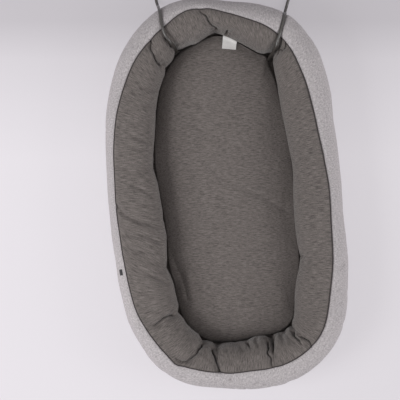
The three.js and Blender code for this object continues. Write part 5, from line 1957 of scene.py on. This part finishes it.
def metal_material():
    """Nickelled zinc with faint scratches that run every way."""
    material, tree, shader = new_material("nickelled_zinc", Metallic=1.0)
    place = coordinates(tree, "Object")
    scratch = noise(tree, place, 1400.0, 5.0)
    slow = unevenness(tree, place, 5 * MM)
    color = blend(tree, slow, srgb(196, 196, 200), srgb(214, 213, 212))
    paint(tree, shader, color, between(tree, scratch, 0.3, 0.7, 0.24, 0.42))
    bump(tree, shader, scratch, 0.03 * MM, 0.4)
    return material


def foam_material():
    material, tree, shader = new_material("open_cell_foam")
    place = coordinates(tree, "Object")
    cell = put(tree, "ShaderNodeTexVoronoi", {"Vector": place, "Scale": 900.0})
    # Painted shade: each cell is darker in its middle, where the bump has its pit.
    color = blend(tree, cell, srgb(226, 219, 196), srgb(240, 235, 216))
    paint(tree, shader, color, between(tree, cell, 0.0, 1.0, 0.95, 0.85))
    bump(tree, shader, cell, 0.4 * MM, 0.8)
    return material


def fibre_material():
    material, tree, shader = new_material("polyester_fibre", Sheen_Weight=0.4)
    strand = noise(tree, coordinates(tree, "Object"), 260.0, 5.0, Distortion=1.6)
    color = blend(tree, strand, srgb(222, 222, 224), srgb(246, 246, 246))
    paint(tree, shader, color, between(tree, strand, 0.3, 0.7, 0.95, 0.85))
    bump(tree, shader, strand, 0.8 * MM, 0.7)
    return material


braid, nylon, metal = cord_material(), coil_material(), metal_material()
foam_finish, fibre = foam_material(), fibre_material()

# %% Give every piece its finish
FINISHES = [
    (jersey_roll, [roll_cover]),
    (marl_roll, [outer_cover]),
    (jersey_flat_painted_lighter, [mattress_top, mattress_base, lining]),
    (marl_flat, [base_panel]),
    (piping_cloth, [piping]),
    (braid, cord_pieces),
    (white_tape, [care_label]),
    (black_tape, [side_label]),
    (zip_tape, [*anchors, *tapes]),
    (nylon, coils),
    (metal, metal_pieces),
    (foam_finish, [foam]),
    (fibre, [filling, wadding]),
    (stitch_thread, stitches[:2]),
    (label_thread, stitches[2:]),
]
for material, pieces in FINISHES:
    for piece in pieces:
        piece.data.materials.clear()
        piece.data.materials.append(material)
print("finished", sum(len(pieces) for _, pieces in FINISHES), "pieces")

# %% [markdown]
# The studio is a pale floor, a soft lamp at the lower left, a larger one further off at the right
# and a pale sky that is brighter at the sides and duller at both ends, most of all at the head.
# Together they light a surface that faces up at a plain level, so a colour renders about as
# written. The floor's tone is painted darker towards the head and the right side, as painted shade
# of the light's falloff. The camera sees the lit floor mixed with a painted glow in the floor's own
# tone, so the shadow stays but is faint, as in the photograph.

# %% Stage and light
FLOOR_HALF = 6.0
# Name, place and size in metres, and power in watts of each lamp
LAMPS = [
    ("left_window", (-2.2, -0.8, 2.1), 1.4, 48),
    ("right_window", (3.4, -0.45, 1.8), 2.0, 46),
]
LAMP_AIM = (0, -0.05, 0)
SKY_LEVEL = 0.5
SEEN_SKY_LEVEL = 0.8
SKY_SIDES = 1.0
SKY_ENDS = -0.7
SKY_HEAD = -0.35
SKY_RIGHT = 0.1
SHADOW_LIFT = 0.65
# Y on the floor in metres, then the floor's tone there, painted darker towards the head as painted
# shade of the light's falloff
FLOOR_PAINTED_SHADE_TONES = [(-0.45, 228), (0.08, 230), (0.2, 224), (0.3, 217), (0.385, 199), (0.5, 196)]
FLOOR_TINT = (1, -3, 2)
# X on the floor where its sides begin and end, then the factor of its tone at both, painted darker
# on the right as painted shade
FLOOR_SIDES_PAINTED_SHADE = (-0.4, 0.35, 1.02, 0.95)


def make_floor():
    corners = [(-1, -1), (1, -1), (1, 1), (-1, 1)]
    mesh = bpy.data.meshes.new("studio_floor")
    mesh.from_pydata([(x * FLOOR_HALF, y * FLOOR_HALF, 0) for x, y in corners], [], [(0, 1, 2, 3)])
    floor = link_object("studio_floor", mesh)
    material, tree, shader = new_material("studio_floor", Roughness=0.9)
    shader.inputs["Specular IOR Level"].default_value = 0.1
    # Painted shade: the floor's tone is darker towards the head and towards the right, standing in
    # for the light's falloff.
    axes = parts(tree, coordinates(tree, "Object"))
    first, last = FLOOR_PAINTED_SHADE_TONES[0][0], FLOOR_PAINTED_SHADE_TONES[-1][0]
    run = {"Value": axes["Y"], 1: first, 2: last}
    ramp = add_node(tree, "ShaderNodeValToRGB")
    tree.links.new(put(tree, "ShaderNodeMapRange", run), ramp.inputs[0])
    for place, _ in FLOOR_PAINTED_SHADE_TONES[1:-1]:
        ramp.color_ramp.elements.new((place - first) / (last - first))
    for stop, (_, tone) in zip(ramp.color_ramp.elements, FLOOR_PAINTED_SHADE_TONES):
        stop.color = srgb(*(tone + tint for tint in FLOOR_TINT))
    side = between(tree, axes["X"], *FLOOR_SIDES_PAINTED_SHADE)
    tone = put(tree, "ShaderNodeVectorMath", {0: ramp.outputs[0], "Scale": side}, operation="SCALE")
    tree.links.new(tone, shader.inputs["Base Color"])
    # Painted glow: camera rays also see the floor glow in its own tone, which fades its shadow.
    painted_glow = put(tree, "ShaderNodeEmission", {"Color": tone})
    seen = add_node(tree, "ShaderNodeLightPath").outputs["Is Camera Ray"]
    lift = sums(tree, "MULTIPLY", seen, SHADOW_LIFT)
    mix = put(tree, "ShaderNodeMixShader", {0: lift, 1: shader.outputs[0], 2: painted_glow})
    tree.links.new(mix, tree.nodes["Material Output"].inputs["Surface"])
    mesh.materials.append(material)
    floor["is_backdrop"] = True


def make_lamp(name, place, size, power):
    data = bpy.data.lights.new(name, "AREA")
    data.shape = "SQUARE"
    data.size = size
    data.energy = power
    lamp = bpy.data.objects.new(name, data)
    lamp.location = place
    lamp.rotation_euler = (Vector(LAMP_AIM) - Vector(place)).to_track_quat("-Z", "Y").to_euler()
    bpy.context.scene.collection.objects.link(lamp)


def make_sky():
    world = bpy.data.worlds.new("studio_sky")
    world.use_nodes = True
    tree = world.node_tree
    background = tree.nodes["Background"]
    background.inputs["Color"].default_value = srgb(250, 248, 250)
    path = add_node(tree, "ShaderNodeLightPath")
    seen = sums(tree, "MAXIMUM", path.outputs["Is Camera Ray"], path.outputs["Is Glossy Ray"])
    seen = sums(tree, "MAXIMUM", seen, path.outputs["Is Transmission Ray"])
    axes = parts(tree, coordinates(tree, "Generated"))
    given = sums(tree, "MULTIPLY", sums(tree, "ABSOLUTE", axes["X"]), SKY_SIDES)
    ends = sums(tree, "ABSOLUTE", axes["Y"])
    for value, share in ((axes["X"], SKY_RIGHT), (ends, SKY_ENDS), (axes["Y"], SKY_HEAD)):
        given = sums(tree, "MULTIPLY_ADD", value, share, given)
    given = sums(tree, "MULTIPLY", sums(tree, "ADD", given, 1.0), SKY_LEVEL)
    shown = sums(tree, "MULTIPLY", seen, SEEN_SKY_LEVEL)
    level = sums(tree, "MULTIPLY_ADD", sums(tree, "SUBTRACT", 1.0, seen), given, shown)
    tree.links.new(level, background.inputs["Strength"])
    bpy.context.scene.world = world


make_floor()
for lamp in LAMPS:
    make_lamp(*lamp)
make_sky()
bpy.context.scene.view_settings.view_transform = "Standard"

# %% Measure and finish
low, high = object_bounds()
grown_by = [round((a - b) / MM, 1) for a, b in zip((*low, *high), (*cad_low, *cad_high))]
print("box grew by", grown_by, "mm")
